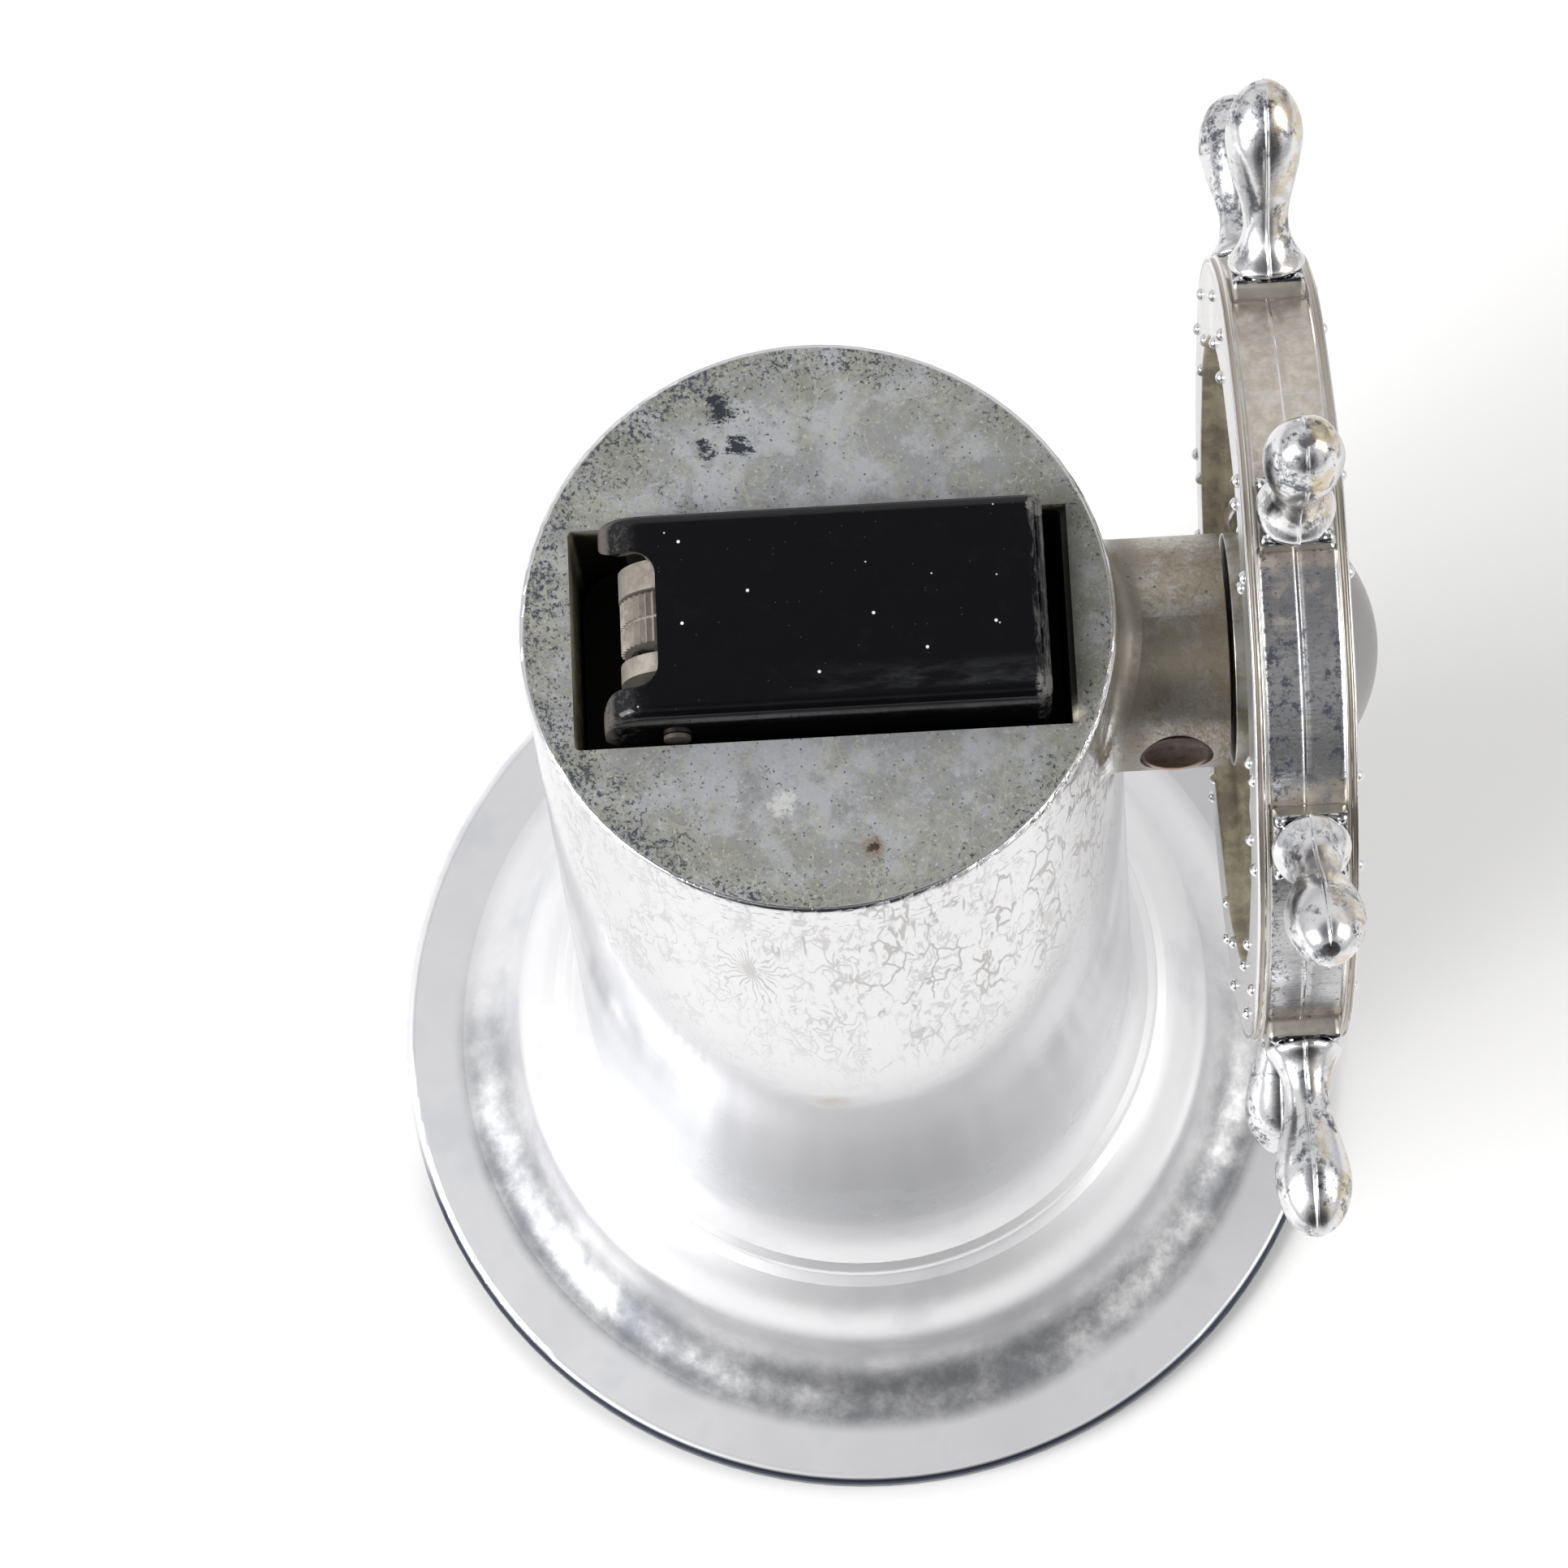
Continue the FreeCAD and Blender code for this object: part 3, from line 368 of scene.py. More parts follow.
def pedestal_chrome():
    """Old chrome plate: crazed under the rim, clouded at the foot, with a blue-black ring in the hollow;
    painted dark reflection and shade on the flare, the flange's front edge and the boss's fillet.
    """
    look = Look("pedestal_chrome", CHROME, 0.09, 1.0)
    r = look.radius(look.x, look.y)
    haze = look.noise(9.0, 3)
    look.layer(look.step(look.z, 70, 40), rough=0.26)
    # painted dark reflection: a darker band round the concave flare of the column
    look.layer(look.band(look.z, 54, 42, 31, 25), (0.61, 0.615, 0.63))
    foot = look.step(look.z, 30, 17)
    look.layer(foot, (0.80, 0.80, 0.812), look.step(haze, -1.6, 1.0, 0.42), 0.62)
    cloud = look.both(look.step(haze, 0.5, 0.7, 0.5), look.step(look.z, 60, 18))
    look.layer(cloud, (0.60, 0.61, 0.64), 0.42)

    # root-like crazing over the front of the upper column, longer than it is wide
    tall = (1.0, 1.0, 0.28)
    front = look.step(look.y, -1, -11)
    fade = look.both(front, look.step(look.z, 68, 98))
    right_side = look.any(look.step(look.x, -12, 6), 0.3)
    patchy = look.noise(2.4, 3, 0.6, tall, seed=4.0)
    roots = look.both(look.cracks(1.7, 0.13, 1.5, tall, seed=1.0), look.step(patchy, 0.46, 0.53), right_side)
    threads = look.veins(1.5, 0.12, 2.0, tall)
    threads = look.both(threads, look.blotch(0.47, 0.56, 3.0, 3, 0.6, tall, seed=9.0), 0.6)
    fine = look.cracks(0.9, 0.07, 1.5, tall, seed=6.0)
    fine = look.both(fine, look.blotch(0.52, 0.6, 1.6, 3, 0.6, tall, seed=16.0), 0.45)
    strokes = look.blotch(0.60, 0.66, 0.8, 2, 0.5, (1.6, 1.6, 0.12), seed=5.0)
    strokes = look.both(strokes, look.band(look.z, 108, 111, 115, 117), look.step(look.x, -7, -4))
    dashes = look.blotch(0.62, 0.67, 0.7, 2, 0.5, (0.7, 0.7, 1.5), seed=7.0)
    dashes = look.both(dashes, look.step(look.z, 113, 117), front)
    centre = (-6.3, -20.6, 105.1)
    squash = tall[2]
    burst = look.star(centre, 24, 0.8, 5.5, squash)
    burst = look.both(burst, look.blotch(0.40, 0.50, 0.9, 3, 0.6, tall, seed=21.0))
    from_burst = look.radius(look.x, look.both(look.z, squash), centre[0], squash * centre[2])
    calm = look.step(from_burst, 1.5, 3.6)
    lines = look.any(roots, threads, fine)
    lines = look.both(lines, fade, calm)
    burst = look.both(burst, front, 0.75)
    lines = look.any(lines, look.both(strokes, front, 0.9), look.both(dashes, 0.8), burst)
    look.layer(look.both(lines, 0.7), (0.30, 0.285, 0.265), 0.35)
    spot = look.both(look.near((-1.8, -22.7, 70.0), 0.2, 2.4), 0.7)
    look.layer(spot, (0.50, 0.46, 0.38), 0.4, 0.9)

    # blue-black tarnish in the hollow above the flange, and painted shade on the flange's front edge
    hollow = look.band(r, 30.8, 34.8, 36.6, 38.6)
    facing_front = look.step(look.y, 16, -14, 0.8)
    mottle = look.noise(6.5, 6, 0.68, seed=3.0)
    film = look.both(hollow, look.step(mottle, 0.2, 0.55), facing_front)
    look.layer(film, (0.185, 0.188, 0.195), 0.42, 0.8)
    dark = look.both(hollow, look.step(mottle, 0.46, 0.68, 0.7), facing_front)
    look.layer(dark, (0.09, 0.10, 0.125), 0.5, 0.7)
    # painted contact shadow and dark reflection: a blue-black line round the front of the flange's outer
    # wall
    rim_wall_shadow = look.both(look.step(r, 42.3, 42.6), look.step(look.y, -6, -16))
    look.layer(rim_wall_shadow, (0.035, 0.042, 0.062), 0.3)

    # dull, stained nickel on the boss, with painted dark reflection on the fillet it grows from
    off_axis = look.radius(look.y, look.z, 0.0, WHEEL_Z)
    boss = look.both(look.step(look.x, 19.9, 21.4), look.step(off_axis, 12.6, 10.6))
    upper = look.step(look.z, WHEEL_Z + 4, WHEEL_Z + 8.4, 0.10)
    stain = look.plus(look.noise(2.4, 5, 0.7, seed=6.0), upper)
    dull = look.between(look.step(stain, 0.38, 0.66), (0.49, 0.485, 0.46), (0.35, 0.32, 0.25))
    look.layer(boss, dull, 0.3, 0.9)
    # painted dark reflection: the fillet darkened and dulled where the boss meets the column
    look.layer(look.both(boss, look.step(look.x, 23.6, 22.0), 0.7), (0.21, 0.20, 0.175), 0.55, 0.5)
    lower = look.step(look.z, WHEEL_Z + 6.5, WHEEL_Z + 3.5)
    rusty = look.both(boss, lower, look.blotch(0.54, 0.62, 0.6, 5, 0.8, seed=13.0), 0.6)
    look.layer(rusty, (0.23, 0.145, 0.075), 0.5, 0.6)
    look.layer(look.both(boss, look.veins(1.2, 0.09, 7.0), 0.45), (0.24, 0.21, 0.165), 0.4)
    look.layer(look.both(boss, look.veins(0.7, 0.06, 11.0), 0.4), (0.24, 0.21, 0.165), 0.4)
    grime = look.both(boss, look.blotch(0.56, 0.68, 0.9, 5, 0.75, seed=12.0, reach=0.55))
    look.layer(grime, (0.19, 0.175, 0.13), 0.45)
    look.layer(look.both(boss, look.specks(0.9, 0.13, 8.0, 0.3)), (0.17, 0.13, 0.08), 0.5)
    look.relief(look.noise(2.0, 3, seed=8.0), 0.006)
    look.relief(lines, -0.012)
    return look.done()


def zinc_face():
    """Bare ground face of the casting: mottled zinc, dark pits at the edge, a rust spot and chalk, with
    painted shade down into the slot and beside the lid's end, and a painted highlight in the slot's front
    right corner.
    """
    look = Look("zinc_face", (0.30, 0.305, 0.31), 0.52, 0.35)
    r = look.radius(look.x, look.y)
    cloud = look.noise(4.0, 6, 0.68, seed=1.0)
    look.layer(look.step(cloud, 0.44, 0.58), (0.44, 0.445, 0.47), 0.45)
    look.layer(look.blotch(0.50, 0.72, 1.3, 5, 0.75, seed=2.0, reach=0.7), (0.215, 0.22, 0.205), 0.6)
    outward = look.plus(look.step(r, 9, 21, 0.30), look.noise(3.5, 4, 0.7, seed=3.0))
    look.layer(look.step(outward, 0.55, 0.9, 0.7), (0.235, 0.24, 0.195), 0.6)
    some = look.blotch(0.42, 0.6, 3.0, 3, seed=18.0, reach=0.55)
    look.layer(look.both(look.veins(1.6, 0.16, 17.0), some, 0.7), (0.41, 0.405, 0.33), 0.55)
    look.layer(look.blotch(0.60, 0.70, 0.42, 2, 0.6, seed=13.0, reach=0.55), (0.52, 0.52, 0.51), 0.5)
    look.layer(look.specks(0.42, 0.10, 1.0, 0.45), (0.45, 0.42, 0.29), 0.6)
    look.layer(look.specks(0.5, 0.10, 2.0, 0.5), (0.13, 0.135, 0.14), 0.6)
    left = look.step(look.plus(look.x, look.both(look.y, -0.25)), 8, -12, 0.06)
    nearness = look.plus(look.step(r, 15.5, 20.9, 0.10), left)
    cluster = look.both(look.noise(3.2, 4, 0.65, seed=14.0), 0.34)
    flecks = look.plus(look.plus(look.noise(0.36, 5, 0.8, seed=5.0), nearness), cluster)
    look.layer(look.step(flecks, 0.84, 0.90), (0.055, 0.065, 0.09), 0.5)
    torn = look.both(look.noise(0.9, 6, 0.85, (0.7, 1.3, 1.0), seed=8.0), 3.4)
    for x, y, size in ((-7.4, 13.3, 1.9), (-4.9, 13.5, 2.4), (-6.2, 16.4, 2.7)):
        ragged = look.plus(look.near((x, y, TOP_Z), 0.0, size), torn)
        look.layer(look.step(ragged, 2.42, 2.52), (0.025, 0.03, 0.04), 0.6)
    rust = look.both(look.near((3.2, -16.5, TOP_Z), 0.0, 1.5), look.noise(0.5, 5, 0.8, seed=9.0))
    look.layer(look.step(rust, 0.10, 0.34, 0.65), (0.17, 0.11, 0.06), 0.75, 0.1)
    look.layer(look.step(rust, 0.36, 0.46), (0.045, 0.025, 0.015), 0.75, 0.1)
    chalk = look.near((-3.0, -13.0, TOP_Z), 0.2, 2.6)
    chalk = look.both(chalk, look.noise(0.35, 5, 0.85, seed=10.0))
    look.layer(look.step(chalk, 0.30, 0.5, 0.75), (0.60, 0.60, 0.59), 0.75, 0.1)
    marks = look.cracks(5.0, 0.05, 1.6, (1.0, 0.5, 1.0), seed=11.0)
    look.layer(look.both(marks, 0.35), (0.50, 0.49, 0.43), 0.4)
    # painted shade: faces that drop into the slot darken with depth
    look.layer(look.step(look.z, TOP_Z - 0.03, TOP_Z - 0.7), (0.012, 0.011, 0.009), 0.7, 0.1)
    shade = look.both(look.band(look.x, 19.2, 17.8, 17.0, 15.0), look.step(look.y, 8.8, 6.0))
    shade = look.both(shade, look.step(look.y, -8.6, -6.8), 0.6)
    look.layer(shade, (0.075, 0.072, 0.058), 0.6)
    # painted light: a lit tan patch at the slot's front right corner, where light reaches past the lid
    look.layer(look.near((17.9, -7.6, TOP_Z - 0.5), 0.2, 1.0), (0.62, 0.56, 0.46), 0.5)
    plated_edge = look.both(look.step(r, 20.55, 20.68), look.step(look.z, TOP_Z - 0.3, TOP_Z - 0.1))
    look.layer(plated_edge, CHROME, 0.12, 1.0)
    look.relief(look.noise(0.6, 5, 0.75, seed=12.0), 0.045)
    look.relief(look.step(flecks, 0.82, 0.92), -0.04)
    return look.done()


def pocket_wall():
    """Raw casting inside the pocket, painted nearly black as the shade deep in the slot, with olive grime
    along the top of the walls and olive tan down the bare left end that fades into the painted shade further
    down.
    """
    look = Look("pocket_wall", (0.030, 0.029, 0.024), 0.75, 0.1)
    grime = look.noise(1.1, 4, 0.7, (1, 1, 0.4), seed=1.0)
    # olive tan of the bare left end near the top, fading with depth into the painted shade below
    left_end = look.both(look.step(look.x, -16.9, -17.2), look.step(look.z, TOP_Z - 15.0, TOP_Z - 5.0))
    tan = look.between(look.step(grime, 0.3, 0.65), (0.72, 0.69, 0.53), (0.45, 0.42, 0.30))
    look.layer(left_end, tan, 0.6)
    edge = look.both(look.step(look.z, TOP_Z - 1.4, TOP_Z - 0.3), look.step(grime, 0.2, 0.5))
    look.layer(edge, (0.34, 0.33, 0.26), 0.55)
    brink = look.step(look.z, TOP_Z - 0.8, TOP_Z - 0.3)
    chips = look.both(brink, look.blotch(0.5, 0.6, 0.4, 4, 0.8, seed=3.0))
    look.layer(chips, (0.62, 0.62, 0.57), 0.4)
    look.relief(look.noise(0.6, 4, 0.7, seed=2.0), 0.05)
    return look.done()


# ---------------------------------------------------------------- wheel finishes
def wheel_chrome():
    """Thin plate on a die casting: tan stain on the rim, blue-black mottling, golden stain down one half."""
    look = Look("wheel_chrome", (0.74, 0.74, 0.75), 0.13, 1.0)
    off_axis = look.radius(look.y, look.z, 0.0, WHEEL_Z)
    offset = look.calc("SUBTRACT", look.x, WHEEL_X)
    side = look.calc("ABSOLUTE", offset)
    angle = look.calc("ARCTAN2", look.y, look.calc("SUBTRACT", look.z, WHEEL_Z))
    by_pad = look.step(look.calc("COSINE", look.both(angle, HANDLES)), 0.0, 0.8)
    stain = look.noise(2.2, 6, 0.72, seed=1.0)
    rubbed = look.noise(0.5, 4, 0.65, (0.22, 2.0, 2.0), seed=11.0)

    # outer band, brushed across, tan towards the back and beside the pads
    band = look.both(look.step(side, 2.58, 2.50), look.band(off_axis, 27.5, 27.9, 28.16, 28.20))
    look.layer(band, (0.52, 0.52, 0.53), 0.27, 0.92)
    look.layer(look.both(band, look.step(rubbed, 0.45, 0.75, 0.45)), (0.72, 0.72, 0.73), 0.22)
    look.layer(look.both(band, look.step(rubbed, 0.5, 0.30, 0.35)), (0.32, 0.31, 0.30), 0.3)
    spread = look.any(look.step(look.y, -14, 12, 0.26), look.both(by_pad, 0.2))
    tanned = look.step(look.plus(stain, spread), 0.56, 0.72)
    uneven = look.blotch(0.35, 0.65, 1.1, 5, 0.7, seed=12.0)
    tan = look.between(uneven, (0.66, 0.62, 0.55), (0.50, 0.44, 0.36))
    look.layer(look.both(band, tanned, 0.88), tan, 0.34, 0.8)
    front = look.step(look.y, 6, -8)
    middle = look.band(look.y, -18.6, -16.5, -9.5, -2.5)
    sideways = look.plus(look.noise(3.5, 3, seed=3.0), look.step(side, 0.8, 2.2, 0.12))
    cloudy = look.both(middle, look.step(sideways, 0.44, 0.56))
    pits = look.blotch(0.51, 0.57, 0.9, 6, 0.8, seed=2.0)
    left_edge = look.step(offset, -1.6, -2.3, 0.06)
    edge_pits = look.step(look.plus(look.noise(0.4, 5, 0.8, seed=13.0), left_edge), 0.58, 0.62)
    look.layer(look.both(pits, cloudy, band, 0.85), (0.055, 0.064, 0.095), 0.42, 0.8)
    look.layer(look.both(edge_pits, band, look.step(look.y, 8, -4), 0.8), (0.06, 0.065, 0.08), 0.45, 0.8)
    pad = look.band(off_axis, 28.22, 28.32, 29.5, 29.62)
    pad_tan = look.between(look.step(stain, 0.35, 0.65), (0.56, 0.54, 0.49), (0.42, 0.39, 0.33))
    look.layer(look.both(pad, 0.9), pad_tan, 0.32, 0.85)
    # painted shade: a dark line in the crease where each handle's foot meets its pad
    crease_shade = look.band(off_axis, 29.44, 29.50, 29.68, 29.74)
    crease_shade = look.both(crease_shade, look.blotch(0.40, 0.50, 0.8, 4, 0.7, seed=14.0, reach=0.9))
    look.layer(crease_shade, (0.02, 0.024, 0.035), 0.25)

    # grooves, side faces and the inside of the rim
    groove = look.both(look.band(side, 2.92, 2.98, 3.20, 3.26), look.step(off_axis, 27.5, 27.8))
    look.layer(look.both(groove, 0.85), (0.42, 0.36, 0.28), 0.4, 0.7)
    line = look.both(look.band(side, 2.90, 2.93, 2.97, 3.00), look.step(off_axis, 27.5, 27.8), front)
    line = look.both(line, look.blotch(0.4, 0.55, 1.5, 3, seed=15.0, reach=0.8))
    look.layer(line, (0.05, 0.05, 0.06), 0.4)
    face = look.both(look.band(side, 3.40, 3.44, 3.49, 3.54), look.step(off_axis, 21.8, 22.2))
    look.layer(face, (0.60, 0.60, 0.59), 0.3, 0.85)
    inner = look.band(off_axis, 22.75, 22.5, 21.4, 20.9)
    uneven = look.blotch(0.38, 0.62, 3.5, 5, 0.7, seed=8.0)
    brown = look.between(uneven, (0.48, 0.42, 0.30), (0.25, 0.22, 0.16))
    look.layer(inner, brown, 0.5, 0.3)
    hub = look.step(off_axis, 8.9, 8.6)
    worn = look.between(look.step(stain, 0.4, 0.65), (0.46, 0.46, 0.44), (0.28, 0.255, 0.20))
    look.layer(hub, worn, 0.33, 0.9)

    # handles: blue-black mottling in patches, golden stain on the half away from the column, fine grain
    grip = look.step(off_axis, 29.8, 31.5)
    look.layer(grip, rough=0.19)
    zone = look.blotch(0.46, 0.56, 3.0, 3, 0.6, seed=16.0)
    mottle = look.blotch(0.45, 0.58, 0.8, 6, 0.8, seed=7.0)
    look.layer(look.both(grip, zone, mottle, 0.9), (0.055, 0.063, 0.085), 0.34, 0.85)
    grey = look.blotch(0.50, 0.66, 2.0, 4, 0.7, seed=17.0, reach=0.5)
    look.layer(look.both(grip, grey), (0.36, 0.365, 0.37), 0.25)
    outer_half = look.step(offset, 0.05, 0.5)
    golden = look.both(outer_half, look.blotch(0.44, 0.60, 2.4, 5, 0.7, seed=18.0, reach=0.75))
    look.layer(look.both(grip, golden), (0.60, 0.50, 0.33), 0.24, 0.95)
    bulb = look.step(off_axis, 36.0, 40.0)
    streak = look.both(bulb, look.blotch(0.57, 0.66, 1.3, 5, 0.75, (1, 1, 0.5), seed=19.0))
    look.layer(look.both(streak, 0.85), (0.03, 0.035, 0.05), 0.3)
    look.relief(look.noise(1.0, 4, 0.6, seed=4.0), 0.018)
    look.relief(look.noise(0.22, 2, 0.6, seed=20.0), 0.005)
    look.relief(look.both(band, rubbed), 0.012)
    return look.done()


def cap_satin():
    look = Look("cap_satin", (0.29, 0.285, 0.28), 0.28, 1.0)
    look.layer(look.blotch(0.4, 0.7, 4.0, 4, seed=1.0, reach=0.5), (0.30, 0.29, 0.275), 0.36)
    look.layer(look.specks(0.9, 0.1, 2.0, 0.2), (0.2, 0.18, 0.16), 0.5)
    look.relief(look.noise(0.5, 3, seed=3.0), 0.006)
    return look.done()


def plug_copper():
    """Coppery screw plug gone dark brown in its dish, with a painted highlight of bright copper on the lower
    lip.
    """
    look = Look("plug_copper", (0.060, 0.034, 0.025), 0.42, 0.8)
    age = look.noise(1.0, 4, 0.7, seed=1.0)
    look.layer(look.step(age, 0.4, 0.7), (0.030, 0.020, 0.015), 0.55)
    away = look.radius(look.x, look.z, 25.0, WHEEL_Z + 1.3)
    # painted highlight: bare copper on the lower lip of the dish, brightened where the lip catches the light
    lip = look.both(look.step(away, 2.15, 2.45), look.step(look.z, WHEEL_Z + 0.6, WHEEL_Z - 0.8))
    look.layer(look.both(lip, 0.8), (0.50, 0.36, 0.28), 0.32, 0.95)
    look.relief(age, 0.03)
    return look.done()


# ---------------------------------------------------------------- insert finishes
def lid_enamel():
    """Glossy black enamel on brass, dusty and worn through at its corners, with a smeared band of painted
    sheen along the front edge towards the wheel end.
    """
    look = Look("lid_enamel", (0.0022, 0.0023, 0.0030), 0.08)
    look.bsdf.inputs["Specular IOR Level"].default_value = 0.34
    low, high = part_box("lid")
    x0, x1 = low.x / MM, high.x / MM
    y0, y1 = low.y / MM, high.y / MM
    # painted reflection: a lighter, smudged band along the front edge towards the wheel end
    smear_and_sheen = look.noise(1.6, 5, 0.7, (0.35, 1.5, 1), seed=1.0)
    sheen_strip = look.both(look.step(look.x, -4, 8), look.band(look.y, y0 + 3.6, y0 + 1.8, y0 + 1.3, y0 + 1.0))
    look.layer(look.both(sheen_strip, look.step(smear_and_sheen, 0.38, 0.66, 0.6)), (0.040, 0.041, 0.044), 0.4)
    veil = look.blotch(0.52, 0.75, 2.5, 5, 0.7, seed=6.0, reach=0.45)
    look.layer(veil, (0.007, 0.0072, 0.009), 0.25)
    streaks = look.noise(0.7, 5, 0.75, (1.6, 0.35, 1), seed=2.0)
    end = look.both(look.step(look.x, x1 - 1.15, x1 - 0.85), look.step(streaks, 0.45, 0.6))
    look.layer(look.both(end, 0.45), (0.17, 0.17, 0.165), 0.5)
    chips = look.noise(0.6, 5, 0.85, seed=7.0)
    for place, size in (((x1 - 0.4, y0 + 1.0, TOP_Z + 3.8), 2.2), ((x1 - 0.5, y1 - 1.0, TOP_Z + 3.8), 1.7)):
        bare = look.both(look.near(place, 0.3, size), chips)
        look.layer(look.step(bare, 0.36, 0.46, 0.9), (0.19, 0.185, 0.175), 0.5, 0.3)
    ears = look.both(look.step(look.x, x0 + 1.0, x0 + 0.3), look.blotch(0.30, 0.5, 0.9, 4, 0.75, seed=8.0))
    look.layer(ears, (0.13, 0.115, 0.10), 0.5, 0.3)
    nose = look.step(look.x, x0 + 3.4, x0 + 0.8)
    greyed = look.both(nose, look.blotch(0.5, 0.62, 0.5, 4, 0.8, seed=9.0, reach=0.5))
    look.layer(greyed, (0.10, 0.10, 0.105), 0.45)
    look.layer(look.specks(0.8, 0.05, 5.0, 0.08, "2D"), (0.04, 0.04, 0.04), 0.8)
    look.layer(look.specks(4.2, 0.14, 3.0, 0.28, "2D"), (0.80, 0.80, 0.78), 0.8)
    look.layer(look.specks(2.3, 0.08, 10.0, 0.08, "2D"), (0.5, 0.5, 0.49), 0.8)
    look.relief(look.noise(5.0, 2, seed=4.0), 0.03)
    look.relief(look.noise(0.6, 3, seed=5.0), 0.003)
    return look.done()


def soot(look):
    look.layer(look.step(look.z, TOP_Z - 17, TOP_Z - 12), (0.008, 0.0075, 0.0065), 0.85, 0.05)


def dirty_brass(name, light, dark, rough, sooted=False):
    """Brass or alloy under grime; sooted pieces are black near the flame."""
    look = Look(name, light, rough, 0.75)
    grime = look.noise(1.2, 5, 0.7, seed=1.0)
    look.layer(look.step(grime, 0.35, 0.68), dark, rough + 0.2, 0.35)
    look.layer(look.specks(0.5, 0.08, 2.0, 0.4), (0.45, 0.42, 0.36), 0.7, 0.1)
    if sooted:
        soot(look)
    look.relief(grime, 0.03)
    return look.done()


def plain_steel(name, light, dark, rough, sooted=False):
    look = Look(name, light, rough, 1.0)
    brushed = look.noise(0.9, 4, 0.6, (1.0, 1.0, 6.0), seed=1.0)
    look.layer(look.step(brushed, 0.35, 0.7), dark, rough + 0.12)
    look.layer(look.specks(1.2, 0.12, 3.0, 0.25), dark, 0.6, 0.6)
    if sooted:
        soot(look)
    look.relief(brushed, 0.01)
    return look.done()


def soft_fibre(name, light, dark, size, depth):
    look = Look(name, light, 0.95, 0.0, sheen_weight=0.35, sheen_roughness=0.5)
    tufts = look.noise(size, 6, 0.75, twist=0.6, seed=1.0)
    look.layer(look.step(tufts, 0.3, 0.7), dark)
    look.relief(tufts, depth)
    return look.done()


def rubber():
    look = Look("gasket_rubber", (0.02, 0.02, 0.021), 0.6)
    look.layer(look.blotch(0.4, 0.7, 0.8, 4, seed=1.0, reach=0.6), (0.045, 0.043, 0.04), 0.8)
    look.relief(look.noise(0.3, 3, seed=2.0), 0.01)
    return look.done()


def flint_alloy():
    look = Look("flint_alloy", (0.18, 0.17, 0.16), 0.5, 0.8)
    look.layer(look.blotch(0.4, 0.65, 0.5, 5, 0.7, seed=1.0), (0.07, 0.065, 0.06), 0.75, 0.5)
    look.relief(look.noise(0.25, 4, seed=2.0), 0.03)
    return look.done()


# ---------------------------------------------------------------- mesh building
def add_piece(name, points, faces, mat, body, stands_for):
    """A smooth mesh piece, given in millimetres, that rides on a body and takes a CAD node's place."""
    mesh = bpy.data.meshes.new(name)
    mesh.from_pydata([Vector(point) * MM for point in points], [], faces)
    work = bmesh.new()
    work.from_mesh(mesh)
    bmesh.ops.remove_doubles(work, verts=work.verts, dist=1e-3 * MM)
    bmesh.ops.recalc_face_normals(work, faces=work.faces)
    work.to_mesh(mesh)
    work.free()
    for face in mesh.polygons:
        face.use_smooth = True
    mesh.materials.append(mat)
    piece = put(name, mesh)
    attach(piece, body)
    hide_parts(stands_for)
    return piece


def skin(rings, loop=False):
    """Points and faces over rings of equal length; a loop has no ends to close."""
    count = len(rings[0])
    points = [point for ring in rings for point in ring]
    faces = []
    pairs = list(zip(range(len(rings)), range(1, len(rings))))
    if loop:
        pairs.append((len(rings) - 1, 0))
    for low, high in pairs:
        for k in range(count):
            after = (k + 1) % count
            faces.append((low * count + k, low * count + after, high * count + after, high * count + k))
    if not loop:
        for first in (0, (len(rings) - 1) * count):
            middle = sum((Vector(point) for point in points[first:first + count]), Vector()) / count
            points.append(middle)
            faces += [(first + k, first + (k + 1) % count, len(points) - 1) for k in range(count)]
    return points, faces


def joined(parts):
    """Several skins as one."""
    points, faces = [], []
    for more_points, more_faces in parts:
        start = len(points)
        points += more_points
        faces += [tuple(start + k for k in face) for face in more_faces]
    return points, faces


def smooth_curve(knots, steps):
    """Points along a Catmull-Rom curve through (a, b) knots."""
    padded = [knots[0]] + knots + [knots[-1]]
    curve = []
    for p0, p1, p2, p3 in zip(padded, padded[1:], padded[2:], padded[3:]):
        for k in range(steps):
            t = k / steps
            curve.append(tuple(
                b + 0.5 * t * (c - a + t * (2 * a - 5 * b + 4 * c - d + t * (3 * (b - c) + d - a)))
                for a, b, c, d in zip(p0, p1, p2, p3)
            ))
    return curve + [knots[-1]]


def round_corners(corners, radius, steps=4):
    """A closed outline with every corner turned into an arc of at most that radius."""
    outline = []
    for before, corner, after in zip(corners[-1:] + corners[:-1], corners, corners[1:] + corners[:1]):
        corner = Vector(corner)
        arms = [Vector(before) - corner, Vector(after) - corner]
        reach = min(radius, 0.45 * min(arm.length for arm in arms))
        start, end = (corner + arm.normalized() * reach for arm in arms)
        for k in range(steps + 1):
            t = k / steps
            outline.append(start.lerp(corner, t).lerp(corner.lerp(end, t), t))
    return outline


# ---------------------------------------------------------------- the ship's wheel
RIM_BAND = 28.1  # radii are from the wheel's axis
RIM_HALF = 3.47  # half of the rim's thickness
RIM_INNER = 22.45
RIM_STEPS = 288
HANDLES = 8
HUB_X = (29.2, 33.7, 36.4)  # back of the hub, floor of the cap's recess, front of the hub
HUB_R = 8.4
HUB_RECESS_R = 6.2
HUB_BORE = 3.06
FOOT_AT = 29.55  # foot of a handle, top of its pad
BEAD_R = 0.48
BEAD_CIRCLES = (22.95, 26.4)
BEAD_ANGLE = 7.5  # either side of a handle, in degrees


